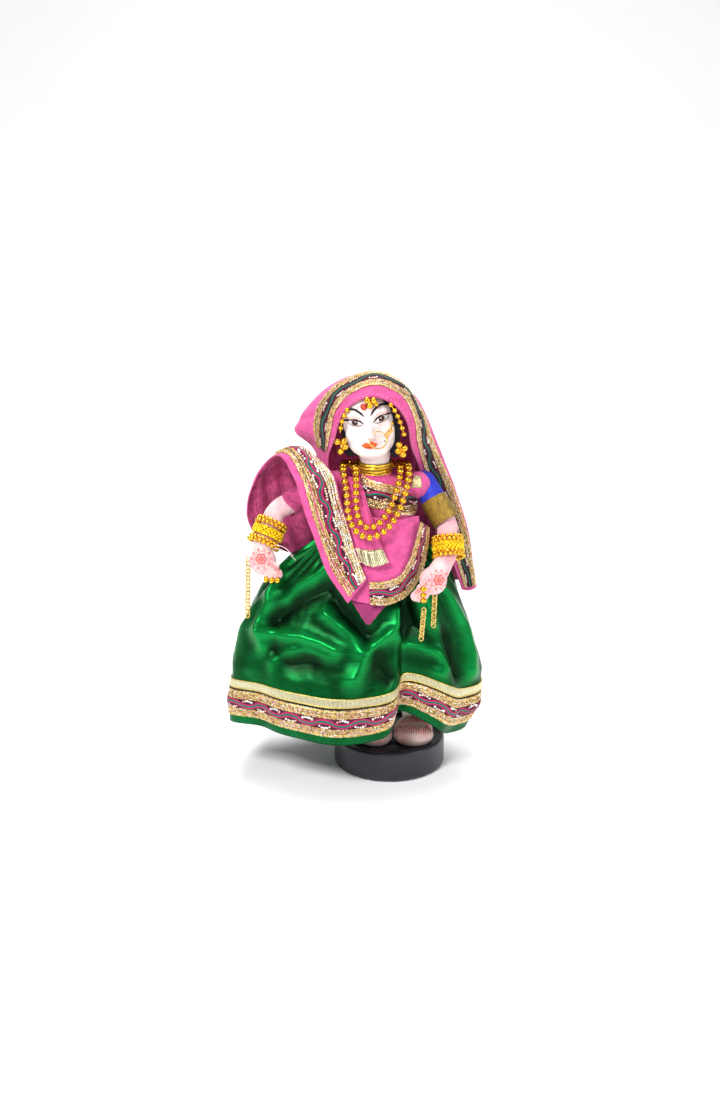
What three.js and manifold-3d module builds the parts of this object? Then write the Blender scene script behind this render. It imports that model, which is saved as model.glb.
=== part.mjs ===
// A hand-made Rajasthani cloth doll: a stuffed figure on a wire armature, dressed in a satin
// skirt and a lace-bordered veil, hung with gold beads, standing on a round turned base.
// Millimetres, +Z up. The doll faces -Y and +X is the doll's own left. The origin is the centre
// of the base's underside.
import * as THREE from "three";
import { ParametricGeometry } from "three/addons/geometries/ParametricGeometry.js";
import { mergeVertices } from "three/addons/utils/BufferGeometryUtils.js";
import Module from "manifold-3d";

const wasm = await Module();
wasm.setup();

// ---------------------------------------------------------------- driving dimensions
const GAP = 0.35; // room left between two pieces that touch
const CLOTH = 1.0; // thickness of a cloth panel, turned edges included
const BRAID = 0.9; // thickness of a lace or ribbon trim

const BASE_R = 31;
const BASE_H = 17;
const RECESS_DEPTH = 2.5;
const RIM = 2;
const FLOOR_Z = BASE_H - RECESS_DEPTH;

const WIRE_R = 0.8;
const WIRE_BORE = 1.15;

const BODY_X = -8;
const WAIST_Z = 117.5;
const NECK_Z = 167.5;
const TORSO_SQUASH = 0.76; // depth of the torso over its width

const HEAD = new THREE.Vector3(-10.5, -2, 199.5);
const HEAD_R = new THREE.Vector3(14, 15, 19);
const NECK = new THREE.Vector3(-8.5, -1, 0);
const NECK_R = 7.6;
const CHOKER_Z = [170.4, 176.4];

const BEAD_R = 1.9;
const HAIR_BEAD_R = 1.2;
const ARM_R = 6.5;
const WRIST_R = 5.6;
const HAND_R = 4.6;

const SKIRT_X = -15; // the axis that the skirt's folds turn round
const SKIRT_WAIST_Z = 138;
const GOTA_BAND = [0.765, 0.808]; // shares of the way from waist to hem
const LACE_BAND = [0.812, 0.955];

const deg = THREE.MathUtils.degToRad;
const V = (x, y, z) => new THREE.Vector3(x, y, z);

// Each arm: shoulder, elbow and wrist, then palm, finger and thumb ends.
const ARMS = {
  left: {
    shoulder: V(18, 2, 163),
    elbow: V(30, -8.2, 144.2),
    wrist: V(31, -17.5, 129),
    palm: V(22.5, -29, 118),
    fingers: V(13, -35.5, 111.5),
    thumb: V(17.5, -33, 107.5),
    beads: [V(17, -39.4, 117), V(17, -40, 113.8), V(17, -39.6, 110.6)],
    bangles: [0.56, 0.8, 1.02],
    cuffSpan: [0.5, 0.93],
    sleeveSpan: [0.2, 0.48],
  },
  right: {
    shoulder: V(-34, 2, 163),
    elbow: V(-61, -9, 150.5),
    wrist: V(-69, -18, 133.5),
    palm: V(-68.5, -20.5, 126),
    fingers: V(-60.5, -25.5, 120.5),
    thumb: V(-68.5, -23, 117.5),
    beads: [V(-66.4, -30, 119), V(-63.3, -31, 118.9), V(-60.2, -31.4, 119.1)],
    bangles: [0.36, 0.62, 0.88],
    sleeveSpan: [0.2, 0.62],
  },
};

// ---------------------------------------------------------------- materials
const paint = (color, roughness, metalness = 0) =>
  new THREE.MeshStandardMaterial({ color, roughness, metalness });
const M = {
  base: paint(0x23232b, 0.42),
  wire: paint(0x8d8f94, 0.45, 0.9),
  cotton: paint(0xf1e9e2, 0.95),
  skin: paint(0xf2c9cb, 0.8),
  face: paint(0xf6e6e6, 0.6),
  hair: paint(0x0c0b10, 0.7),
  pink: paint(0xd94c95, 0.85),
  green: paint(0x077a2c, 0.35),
  blue: paint(0x2a2fc4, 0.5),
  cuff: paint(0x9c7a1c, 0.45, 0.5),
  gota: paint(0xd9c469, 0.35, 0.7),
  lace: paint(0xb48f52, 0.5, 0.5),
  bead: paint(0xd9981a, 0.25, 0.9),
  chain: paint(0xcaa54a, 0.3, 0.9),
};

// ---------------------------------------------------------------- solids
function solidOf(geometry) {
  const bare = geometry.index ? geometry.toNonIndexed() : geometry.clone();
  const open = new THREE.BufferGeometry();
  open.setAttribute("position", bare.getAttribute("position"));
  const merged = mergeVertices(open, 1e-4);
  return new wasm.Manifold(
    new wasm.Mesh({
      numProp: 3,
      vertProperties: merged.attributes.position.array,
      triVerts: new Uint32Array(merged.index.array),
    }),
  );
}

function geometryOf(solid) {
  const mesh = solid.getMesh();
  const geometry = new THREE.BufferGeometry();
  geometry.setAttribute("position", new THREE.BufferAttribute(mesh.vertProperties, 3));
  geometry.setIndex(new THREE.BufferAttribute(mesh.triVerts, 1));
  return geometry;
}

// The main body of a solid whose cuts may have left slivers.
const largest = (solid) => solid.decompose().reduce((a, b) => (a.volume() > b.volume() ? a : b));
const join = (...solids) => solids.reduce((a, b) => a.add(b));
const cut = (solid, ...tools) => tools.reduce((a, b) => a.subtract(b), solid);

// An outline of [radius, height] pairs turned round the Z axis.
function turned(outline, segments = 24) {
  const points = outline.map(([r, z]) => new THREE.Vector2(r, z));
  return new THREE.LatheGeometry(points, segments).rotateX(Math.PI / 2);
}

function ring(inner, outer, low, high, segments = 24) {
  const outline = [[inner, low], [outer, low], [outer, high], [inner, high], [inner, low]];
  return turned(outline, segments);
}

function ball(centre, r, across = 12, down = 8) {
  const geometry = new THREE.SphereGeometry(1, across, down).rotateX(Math.PI / 2);
  return geometry.scale(r.x ?? r, r.y ?? r, r.z ?? r).translate(...centre);
}

function block(low, high) {
  const size = high.clone().sub(low);
  const middle = high.clone().add(low).multiplyScalar(0.5);
  return new THREE.BoxGeometry(...size).translate(...middle);
}

// Turns geometry made along +Z from the origin so that it runs from a towards b.
function aim(geometry, a, b) {
  const way = b.clone().sub(a).normalize();
  const turn = new THREE.Quaternion().setFromUnitVectors(V(0, 0, 1), way);
  return geometry.applyQuaternion(turn).translate(...a);
}

function rod(a, b, r, sides = 8) {
  const length = a.distanceTo(b);
  const geometry = new THREE.CylinderGeometry(r, r, length, sides).rotateX(Math.PI / 2);
  return aim(geometry.translate(0, 0, length / 2), a, b);
}

function capsule(a, b, r, sides = 10) {
  const length = a.distanceTo(b);
  const geometry = new THREE.CapsuleGeometry(r, length, 3, sides).rotateX(Math.PI / 2);
  return aim(geometry.translate(0, 0, length / 2), a, b);
}

// A cone frustum from a to b.
function taper(a, b, ra, rb, sides = 14) {
  const length = a.distanceTo(b);
  const geometry = new THREE.CylinderGeometry(rb, ra, length, sides).rotateX(Math.PI / 2);
  return aim(geometry.translate(0, 0, length / 2), a, b);
}

// A tube along a closed curve.
function loop(curve, r, steps, sides = 6) {
  const frames = curve.computeFrenetFrames(steps, true);
  const place = (u, v, target) => {
    const k = Math.round(u * steps) % steps;
    const a = -v * 2 * Math.PI;
    target.copy(curve.getPointAt(k / steps));
    target.addScaledVector(frames.normals[k], r * Math.cos(a));
    target.addScaledVector(frames.binormals[k], r * Math.sin(a));
  };
  return new ParametricGeometry(place, steps, sides);
}

// A tube along an open curve.
function tube(points, r, steps, sides = 3) {
  const outline = new THREE.Shape().absarc(0, 0, r, 0, 2 * Math.PI, false);
  return new THREE.ExtrudeGeometry(outline, {
    steps,
    curveSegments: sides,
    bevelEnabled: false,
    extrudePath: new THREE.CatmullRomCurve3(points),
  });
}

// A smooth sheet through a net of points: rows of [x, y, z], each from one side to the other.
function sheetPoint(net, u, v) {
  const column = net.map((row) => {
    const curve = new THREE.CatmullRomCurve3(row.map((p) => V(...p)));
    return curve.getPoint(u);
  });
  return new THREE.CatmullRomCurve3(column).getPoint(v);
}

// A closed panel that follows surface(u, v), thinning to nothing at its edges. With round set it
// closes on itself in u. lift moves it outwards.
function panel(surface, { thick = CLOTH, lift = 0, across, down, round = false }) {
  const step = 1e-3;
  const inside = (t) => Math.min(1, Math.max(0, t));
  const along = (t) => (round ? t : inside(t));
  const edge = (t) => Math.min(1, 6.4 * t * (1 - t));
  const place = (turn, w, target) => {
    const row = Math.round(w * 2 * down);
    const u = round ? turn % 1 : turn;
    const v = Math.min(row, 2 * down - row) / down;
    const side = row <= down ? -0.5 : 0.5;
    const full = edge(v) * (round ? 1 : edge(u));
    const du = surface(along(u + step), v).sub(surface(along(u - step), v));
    const dv = surface(u, inside(v + step)).sub(surface(u, inside(v - step)));
    const outward = dv.cross(du).normalize();
    target.copy(surface(u, v));
    target.addScaledVector(outward, lift + side * thick * full);
  };
  return new ParametricGeometry(place, across, 2 * down);
}

const sheet = (net, options) => panel((u, v) => sheetPoint(net, u, v), options);
const lattice = (net, [u0, u1], [v0, v1]) => (u, v) =>
  sheetPoint(net, u0 + (u1 - u0) * u, v0 + (v1 - v0) * v);

// ---------------------------------------------------------------- the body
const TORSO = [[0, WAIST_Z], [12.5, WAIST_Z], [14, 124], [13.2, 134], [14.5, 145], [15.2, 155]];
const SHOULDERS = [[13, 162], [9.5, 165.5], [7, NECK_Z], [0, NECK_Z]];

function torsoSolid(grow = 0) {
  const outline = [...TORSO, ...SHOULDERS].map(([r, z]) => [r ? r + grow : 0, z]);
  return solidOf(turned(outline, 18).scale(1, TORSO_SQUASH, 1).translate(BODY_X, 0, 0));
}

function bodice(grow) {
  const bust = [-9.2, 9.2].map((dx) => solidOf(ball(V(BODY_X + dx, -8.2, 147), 8.6 + grow, 12, 8)));
  return join(torsoSolid(1.4 + grow), ...bust);
}

const LEGS = {
  left: { hip: V(-1, 0, 116.3), ankle: V(12, 2, 26), foot: V(13.5, -7.5, 18.5), r: V(10, 13.2, 7.4) },
  right: { hip: V(-14, 0, 116.3), ankle: V(-5.5, 2, 26), foot: V(-6.8, -7.5, 18.5), r: V(8.6, 13, 7.2) },
};

// The point on a leg's line at a height.
function onLeg(leg, z) {
  const share = (z - leg.ankle.z) / (leg.hip.z - leg.ankle.z);
  return leg.ankle.clone().lerp(leg.hip, share);
}

const legWire = (leg, r) => rod(onLeg(leg, 7), onLeg(leg, 127), r);
const legWireBores = Object.values(LEGS).map((leg) => solidOf(legWire(leg, WIRE_BORE)));

const SPINE = [V(NECK.x, -2.6, 140), V(NECK.x, -2.6, 205)];
const spineBore = solidOf(rod(SPINE[0].clone().setZ(139.4), SPINE[1].clone().setZ(205.6), WIRE_BORE));
const SHOULDER_WIRE = [V(-36.5, 2, 163), V(20.5, 2, 163)];
const shoulderBore = solidOf(rod(V(-37.2, 2, 163), V(21.2, 2, 163), WIRE_BORE));

function baseSolid() {
  const outline = [
    [0, 0], [BASE_R - 1.2, 0], [BASE_R, 1.2], [BASE_R, BASE_H - 0.8], [BASE_R - 0.6, BASE_H],
    [BASE_R - RIM, BASE_H], [BASE_R - RIM - 0.5, FLOOR_Z], [0, FLOOR_Z],
  ];
  return cut(solidOf(turned(outline, 36)), ...legWireBores);
}

function footSolid(leg) {
  const sole = FLOOR_Z + GAP;
  const below = solidOf(block(V(-60, -60, -5), V(60, 60, sole)));
  const foot = solidOf(ball(leg.foot, leg.r, 14, 10));
  return cut(foot, below, ...legWireBores);
}

function legSolid(leg) {
  return cut(solidOf(taper(leg.ankle, leg.hip, 4.6, 5.8, 16)), ...legWireBores);
}

// ---------------------------------------------------------------- head and ornaments
function headSolid(grow = 0) {
  const skull = ball(HEAD, HEAD_R.clone().addScalar(grow), 16, 10);
  const neck = ring(0, NECK_R + grow, NECK_Z + GAP, 188).translate(NECK.x, NECK.y, 0);
  const chin = ball(V(HEAD.x, HEAD.y - 5.5, 187), 8.2 + grow, 12, 8);
  return join(solidOf(skull), solidOf(neck), solidOf(chin));
}

function hairSolid() {
  const crown = solidOf(ball(V(HEAD.x, HEAD.y + 1.2, HEAD.z + 0.2), V(15.3, 16, 20), 14, 10));
  const nape = solidOf(ball(V(HEAD.x, 4, 184), V(14.5, 11, 13.5), 14, 8));
  const face = solidOf(ball(V(HEAD.x + 0.4, -20, 194), V(14.4, 14, 22), 14, 10));
  const collar = solidOf(ring(0, 11.4, 160, 178).translate(NECK.x, NECK.y, 0));
  const below = solidOf(block(V(-60, -40, 150), V(40, 40, 177.4)));
  return largest(cut(join(crown, nape), headSolid(GAP), face, collar, below));
}

const beadCluster = (centres, r) => join(...centres.map((c) => solidOf(ball(c, r, 8, 5))));
const EARRINGS = {
  left: [V(4.6, -13.4, 187.4), V(7.4, -13.2, 185.2), V(4.2, -13.6, 184), V(6.4, -13.4, 181.8)],
  right: [V(-26.6, -13, 190.4), V(-23.6, -13.4, 189.6), V(-23.2, -13.4, 186.2), V(-25.8, -13.2, 187)],
};
const HAIR_BEADS = {
  left: [V(1.5, -13.5, 214.6), V(5, -13.2, 210.5), V(6.8, -12.6, 204.5), V(7.4, -12.2, 198), V(7, -12.6, 192)],
  right: [V(-22.5, -13.8, 212), V(-25.6, -12.8, 206.5), V(-26.8, -12, 200), V(-26.8, -12.2, 194.6)],
};
const TIKKA = [V(-11.4, -15, 216.6), V(-8.2, -15, 215.8), V(-12.8, -15.4, 213.6), V(-9.6, -15.6, 212.8)];

function noseRingSolid() {
  const hoop = new THREE.TorusGeometry(5.2, 0.55, 5, 16).rotateX(Math.PI / 2).translate(-4.4, -19.6, 193.6);
  const chain = tube([V(-1, -19.3, 197.6), V(2.4, -17.6, 200.6), V(4.4, -15.6, 204.2)], 0.6, 5, 6);
  return join(solidOf(hoop), solidOf(chain));
}

// Strands of beads round the neck, hanging on the chest.
const NECKLACES = {
  inner_necklace: [
    [-8.5, 11, 171], [3.5, 6.5, 171.6], [5.2, -4, 172.4], [3.6, -13.8, 165.6], [-1, -20.8, 155], [-6.5, -25.6, 149],
    [-12, -27.6, 147], [-16.3, -26.7, 149.6], [-18.4, -23.4, 157], [-18.6, -18.4, 166.4], [-19, -7.6, 173.4],
    [-20, 6.5, 171.6],
  ],
  outer_necklace: [
    [-8.5, 15.2, 171.2], [6, 9.5, 172], [9.6, -4, 173], [8, -14.6, 164], [3.4, -22.1, 153.3], [-4, -28, 145.1],
    [-12, -29.8, 142.5], [-18.7, -29, 145.9], [-22.4, -25.6, 153.1], [-23.6, -19.4, 164], [-25.6, -7, 174],
    [-23, 9.5, 172],
  ],
};

// ---------------------------------------------------------------- the skirt
// Half-widths from waist to hem: share of the way down, left, right, front, back.
const SKIRT_ROWS = [
  [0, 13, 25, 15.5, 14], [0.08, 27, 35, 18, 20], [0.14, 36, 40, 20, 25], [0.32, 56, 52, 26, 34],
  [0.5, 66, 59.5, 33, 41], [0.7, 72, 65, 41, 46], [0.88, 75, 63, 46, 48], [1, 74, 56, 46, 47],
];
const nearTurn = (a, at, width) => {
  const off = THREE.MathUtils.euclideanModulo(a - at + 180, 360) - 180;
  return Math.exp(-((off / width) ** 2));
};

function skirtRow(share) {
  const k = SKIRT_ROWS.findIndex((row) => row[0] >= share);
  const [before, after] = [SKIRT_ROWS[Math.max(0, k - 1)], SKIRT_ROWS[k]];
  const mix = after[0] > before[0] ? (share - before[0]) / (after[0] - before[0]) : 0;
  return before.map((x, i) => x + (after[i] - x) * mix).slice(1);
}

// A point of the skirt's outer face: turn goes once round from +X, share goes from waist to hem.
function skirtPoint(turn, share) {
  const a = 360 * turn;
  const [left, right, front, back] = skirtRow(share);
  const swell = share ** 0.8;
  const fold =
    1 + swell * (0.035 * Math.cos(deg(7 * a + 40)) + 0.02 * Math.cos(deg(12 * a + 110)))
    - 0.36 * swell * nearTurn(a, 297, a < 297 ? 8 : 12);
  const hem =
    29 + 4 * nearTurn(a, 220, 26) + 13 * nearTurn(a, 302, 16) - 5 * nearTurn(a, 345, 25)
    + 2 * Math.cos(deg(3 * a - 90)) * (a < 180 ? 1 : 0.3);
  const c = Math.cos(deg(a));
  const s = Math.sin(deg(a));
  return V(
    SKIRT_X + fold * c * (c > 0 ? right : left),
    fold * s * (s > 0 ? back : front),
    SKIRT_WAIST_Z + (hem - SKIRT_WAIST_Z) * share,
  );
}

const skirtBand = ([from, to]) => (u, v) => skirtPoint(u, from + (to - from) * v);

// ---------------------------------------------------------------- the veil and drapes
// Rows run from the edge round the face to the hem behind; points run from the doll's left
// hand, over the head, to its right shoulder.
const VEIL = [
  [[40, 9, 99], [30, 11, 128], [21, 12, 152], [15, 8, 171], [10.5, -5, 187], [9.5, -8, 200], [3, -10, 213],
    [-10, -12, 219.4], [-22, -10, 213], [-28.5, -8, 203], [-30, -7, 192], [-33, -4, 181], [-34, 2, 165]],
  [[43, 10, 98], [34, 13, 130], [25, 14, 155], [19, 9, 173], [15.5, -2, 189], [13, -6, 203], [6, -8, 216],
    [-8, -8, 222], [-23, -7, 216], [-31, -7, 206], [-33.5, -6, 194], [-35, -2, 182], [-35.5, 4, 166]],
  [[48, 12, 99], [43, 14, 128], [35, 14, 154], [27, 10, 174], [21.5, 4, 188], [16, 2, 203], [7, 2, 216.5],
    [-8, 3, 224], [-27, 1, 218.5], [-38, -1, 207], [-41, -2, 196], [-39, 1, 183.5], [-36.5, 7, 167]],
  [[47, 19, 100], [43, 21, 128], [34, 20, 156], [26, 17, 178], [20, 15, 194], [13, 15, 208], [4, 15, 216],
    [-10, 15, 220.5], [-30, 12, 216], [-45, 10, 203], [-52, 10, 190.5], [-42, 9, 181], [-36.5, 12, 166]],
  [[38, 25, 99], [35, 28, 122], [27, 27, 148], [18, 26, 172], [12, 26, 188], [6, 27, 200], [0, 28, 206],
    [-12, 29, 209], [-26, 28, 205], [-36, 26, 196], [-42, 25, 188], [-40, 25, 177], [-37, 26, 162]],
  [[34, 28, 97], [31, 30, 110], [25, 31, 126], [18, 31, 140], [11, 32, 150], [4, 33, 157], [-3, 34, 161],
    [-12, 34, 163], [-22, 34, 161], [-30, 33, 156], [-36, 32, 150], [-40, 31, 145], [-42, 30, 140]],
  [[30, 30, 97], [25, 33, 98], [20, 34, 99], [14, 35, 101], [8, 36, 103], [2, 37, 105], [-4, 37, 107],
    [-12, 37, 109], [-20, 37, 112], [-27, 37, 114], [-33, 36, 117], [-38, 35, 120], [-42, 33, 123]],
];
// Rows run from the point at the doll's lap, up the chest, over the shoulder and down the back;
// points run from the neck side outwards.
const CAPE = [
  [[-13, -30, 118.5], [-18, -31.3, 112.5], [-23, -32, 106]],
  [[-18, -26.8, 131], [-25.5, -27.8, 127], [-34, -28, 122]],
  [[-22, -23.6, 144], [-31, -25.3, 141], [-40, -25, 138]],
  [[-27, -19.4, 160], [-36, -21, 156.5], [-46, -19.5, 153]],
  [[-31, -15, 173], [-40.5, -16, 171.5], [-51, -13.5, 169.5]],
  [[-41, -8, 181], [-49, -6, 183], [-59, -4.5, 179.5]],
  [[-46, 4, 180], [-56, 4, 181.5], [-68, 5, 173]],
  [[-45.5, 14, 171], [-62, 14, 171], [-76, 11, 158]],
  [[-39, 17, 150], [-60, 20, 147], [-79, 14, 141]],
  [[-29, 21.5, 129.5], [-56, 22, 126], [-76, 13, 129]],
];
// Rows run from the bust to the lower edge; points run from the doll's right to its left.
const FRONT = [
  [[-28, -13, 153], [-18, -19.4, 152], [-8, -19.6, 150], [5, -19.6, 149.5], [15, -13, 149]],
  [[-30, -17, 141], [-20, -20.6, 140], [-8, -20.6, 139.5], [5, -21, 139.5], [16, -14.6, 139]],
  [[-28, -20, 130], [-19, -22.6, 129], [-8, -24, 128.6], [5, -23.4, 128.6], [15.5, -17.6, 129.4]],
  [[-27, -24, 118], [-18, -26.2, 118], [-8, -27.6, 118], [4, -26.6, 118.4], [14.5, -20.4, 121]],
  [[-24, -27.8, 107.6], [-17, -29.4, 106], [-7, -30.6, 105], [3, -29.6, 106], [11, -24.6, 111]],
];
// The front drape's border: rows follow it from the lap round to under the left arm; points
// run from its inner edge to its outer edge.
const FRONT_LACE = [
  [[-11.6, -30, 117.4], [-11.2, -32.6, 105.8]],
  [[-3, -29.8, 118], [-2, -32.4, 105.4]],
  [[4, -28.4, 120.4], [7.6, -28.4, 108.6]],
  [[9, -24.6, 127], [15.6, -20.6, 117.6]],
  [[12.6, -20.6, 136.6], [19.2, -16, 129.6]],
  [[15.4, -17, 147], [20.4, -11.4, 142]],
];
const PLEATS = [
  [[-25, -9.4, 170], [-21, -10.4, 170], [-17, -10.4, 170]],
  [[-23.5, -15.2, 160], [-18.5, -16.4, 160], [-13.5, -16.4, 160]],
  [[-22, -21.2, 150], [-16, -22.4, 150], [-10, -22, 150]],
  [[-20, -23, 140], [-13.5, -24, 139.6], [-6.6, -24.2, 140]],
  [[-17, -26.4, 127.6], [-9.4, -28.8, 125.4], [-0.8, -28.6, 127.8]],
];
const TAIL = [
  [[-23, -26, 109], [-10, -27.4, 108.4], [4, -26, 109.4]],
  [[-18, -30, 101.6], [-11.6, -31, 101], [-4, -29.8, 102.4]],
  [[-13, -34.3, 95.4], [-12, -34.6, 95], [-11, -34.3, 95.4]],
];

// ---------------------------------------------------------------- arms
function upperArmSolid(arm, grow = 0) {
  const shoulder = solidOf(ball(arm.shoulder, ARM_R + 0.4 + grow, 12, 8));
  const limb = solidOf(taper(arm.shoulder, arm.elbow, ARM_R + grow, ARM_R - 0.4 + grow));
  return join(shoulder, limb);
}

function forearmSolid(arm, grow = 0) {
  const elbow = solidOf(ball(arm.elbow, ARM_R - 0.5 + grow, 12, 8));
  const limb = solidOf(taper(arm.elbow, arm.wrist, ARM_R - 0.5 + grow, WRIST_R + grow));
  return join(elbow, limb);
}

function handSolid(arm, grow = 0) {
  const back = solidOf(ball(arm.palm, V(7.4, 7, 7.8).addScalar(grow), 12, 8));
  const wrist = solidOf(capsule(arm.wrist.clone().lerp(arm.palm, 0.3), arm.palm, WRIST_R - 0.6 + grow));
  const fingers = solidOf(capsule(arm.palm, arm.fingers, HAND_R + grow));
  const thumb = solidOf(capsule(arm.palm, arm.thumb, HAND_R - 0.8 + grow));
  return join(back, wrist, fingers, thumb);
}

// The wire inside one length of arm, kept clear of the elbow's ball.
function armWire(a, b, from, to, r) {
  return rod(a.clone().lerp(b, from), a.clone().lerp(b, to), r, 8);
}

function sleeveSolid(arm, [from, to], inner, outer) {
  const a = arm.shoulder.clone().lerp(arm.elbow, from);
  const b = arm.shoulder.clone().lerp(arm.elbow, to);
  const past = arm.shoulder.clone().lerp(arm.elbow, to + 0.2);
  const short = arm.shoulder.clone().lerp(arm.elbow, from - 0.2);
  return cut(
    solidOf(taper(a, b, outer, outer - 0.1)),
    solidOf(taper(short, past, inner, inner - 0.2)),
    upperArmSolid(arm, GAP),
    forearmSolid(arm, GAP),
  );
}

// A bangle round the forearm, at a share of the way from elbow to wrist.
function bangle(arm, share, inner, thick, sides = 5) {
  const at = arm.elbow.clone().lerp(arm.wrist, share);
  const hoop = new THREE.TorusGeometry(inner + thick, thick, sides, 16);
  return aim(hoop, at, at.clone().add(arm.wrist.clone().sub(arm.elbow)));
}

function band(arm, share, inner, thick, width) {
  const at = arm.elbow.clone().lerp(arm.wrist, share);
  const hoop = ring(inner, inner + thick, -width / 2, width / 2, 16);
  return aim(hoop, at, at.clone().add(arm.wrist.clone().sub(arm.elbow)));
}

const CHAINS = {
  left_front_chain: [V(17.6, -33, 101.6), V(16.2, -33, 85.6)],
  left_rear_chain: [V(23.4, -30, 107.6), V(22.8, -30, 92)],
  right_chain: [V(-76.8, -19.5, 124), V(-77.4, -19.5, 93.6)],
};

// ---------------------------------------------------------------- assembly
const doll = new THREE.Group();
function add(name, shape, material) {
  const geometry = shape.isBufferGeometry ? shape : geometryOf(shape);
  const mesh = new THREE.Mesh(geometry, material);
  mesh.name = name;
  doll.add(mesh);
}

add("base", baseSolid(), M.base);
for (const [side, leg] of Object.entries(LEGS)) {
  add(side + "_foot", footSolid(leg), M.skin);
  add(side + "_leg", legSolid(leg), M.cotton);
  add(side + "_leg_wire", legWire(leg, WIRE_R), M.wire);
}
add("torso", cut(torsoSolid(), ...legWireBores, spineBore, shoulderBore), M.cotton);
add("spine_wire", rod(...SPINE, WIRE_R), M.wire);
add("shoulder_wire", rod(...SHOULDER_WIRE, WIRE_R), M.wire);

const bodiceEnds = [
  solidOf(block(V(-60, -60, 100), V(60, 60, 135))),
  solidOf(block(V(-60, -60, NECK_Z - 0.5), V(60, 60, 200))),
];
add("choli", cut(bodice(0), torsoSolid(GAP), shoulderBore, ...bodiceEnds), M.pink);
const chest = solidOf(block(V(-30, -40, 154.4), V(9.6, -2, 166)));
add("chest_lace", cut(bodice(GAP + BRAID), bodice(GAP)).intersect(chest), M.lace);

add("head", cut(headSolid(), spineBore), M.face);
add("hair", hairSolid(), M.hair);
add("choker", ring(NECK_R + GAP, NECK_R + 1.7, ...CHOKER_Z, 22).translate(NECK.x, NECK.y, 0), M.bead);
add("forehead_beads", cut(beadCluster(TIKKA, 1.8), headSolid(GAP)), M.bead);
add("nose_ring", noseRingSolid(), M.bead);
for (const side of ["left", "right"]) {
  add(side + "_hair_beads", tube(HAIR_BEADS[side], HAIR_BEAD_R, 8), M.bead);
  add(side + "_earring", beadCluster(EARRINGS[side], BEAD_R), M.bead);
}
for (const [name, points] of Object.entries(NECKLACES)) {
  const curve = new THREE.CatmullRomCurve3(points.map((p) => V(...p)), true);
  add(name, loop(curve, BEAD_R, 22), M.bead);
}

add("skirt", panel(skirtPoint, { across: 40, down: 8, round: true, lift: -CLOTH / 2 }), M.green);
const skirtTrim = { thick: BRAID, across: 40, round: true, lift: GAP + BRAID / 2 };
add("skirt_gota", panel(skirtBand(GOTA_BAND), { ...skirtTrim, down: 2 }), M.gota);
add("skirt_lace", panel(skirtBand(LACE_BAND), { ...skirtTrim, down: 3 }), M.lace);

add("veil", sheet(VEIL, { across: 24, down: 9 }), M.pink);
const veilLace = lattice(VEIL, [0, 22 / 24], [1 / 9, 3 / 9]);
add("veil_lace", panel(veilLace, { thick: BRAID, lift: 1.5, across: 22, down: 4 }), M.lace);
add("cape", sheet(CAPE, { across: 5, down: 13 }), M.pink);
const capeLace = lattice(CAPE, [0.04, 0.8], [0.02, 0.7]);
add("cape_lace", panel(capeLace, { thick: BRAID, lift: 1.6, across: 5, down: 13 }), M.lace);
add("front_drape", sheet(FRONT, { across: 8, down: 6 }), M.pink);
add("front_lace", sheet(FRONT_LACE, { thick: BRAID, lift: 0, across: 3, down: 12 }), M.lace);
add("pleats", sheet(PLEATS, { across: 4, down: 8 }), M.pink);
const pleatEnd = lattice(PLEATS, [0.03, 0.97], [0.84, 0.99]);
add("pleat_gota", panel(pleatEnd, { thick: BRAID, lift: 1.4, across: 4, down: 2 }), M.gota);
add("lower_drape", sheet(TAIL, { across: 5, down: 5 }), M.pink);

for (const [side, arm] of Object.entries(ARMS)) {
  const { shoulder, elbow, wrist, palm } = arm;
  const elbowRoom = solidOf(ball(elbow, ARM_R + 0.2, 12, 8));
  const armBore = solidOf(armWire(shoulder, elbow, 0.15, 0.8, WIRE_BORE));
  add(side + "_upper_arm", cut(upperArmSolid(arm), elbowRoom, shoulderBore, armBore), M.skin);
  add(side + "_arm_wire", armWire(shoulder, elbow, 0.22, 0.72, WIRE_R), M.wire);
  const wristRoom = handSolid(arm, GAP);
  const wristBore = solidOf(armWire(elbow, wrist, -0.1, 1.1, WIRE_BORE));
  add(side + "_forearm", cut(forearmSolid(arm), wristRoom, wristBore), M.skin);
  add(side + "_forearm_wire", armWire(elbow, wrist, 0, 0.85, WIRE_R), M.wire);
  add(side + "_hand", cut(handSolid(arm), wristBore), M.skin);
  add(side + "_finger_beads", cut(beadCluster(arm.beads, BEAD_R), handSolid(arm, GAP)), M.bead);
  add(side + "_sleeve", sleeveSolid(arm, arm.sleeveSpan, ARM_R + GAP, ARM_R + 1.1), M.blue);
  if (arm.cuffSpan) {
    add(side + "_cuff", sleeveSolid(arm, arm.cuffSpan, ARM_R + GAP, ARM_R + 1.4), M.cuff);
  }
  add(side + "_upper_bangle", bangle(arm, arm.bangles[0], ARM_R + 0.2, 1.1), M.bead);
  add(side + "_band_bangle", band(arm, arm.bangles[1], ARM_R + 0.2, 1.6, 2.4), M.bead);
  add(side + "_lower_bangle", bangle(arm, arm.bangles[2], ARM_R + 0.2, 1.1), M.bead);
}
for (const [name, [top, bottom]] of Object.entries(CHAINS)) {
  add(name, rod(top, bottom, 1.1, 8), M.chain);
}

export default doll;
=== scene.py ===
"""The looks of a hand-made Rajasthani cloth doll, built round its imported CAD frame.

Lengths in this file are millimetres and are scaled to metres as each mesh is made. The doll
faces -Y, its own left is +X, and the origin is the centre of the base's underside.
"""

import math
import random

import bpy
import numpy as np
from mathutils import Matrix, Vector
from mathutils.bvhtree import BVHTree
from mathutils.noise import noise


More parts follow.
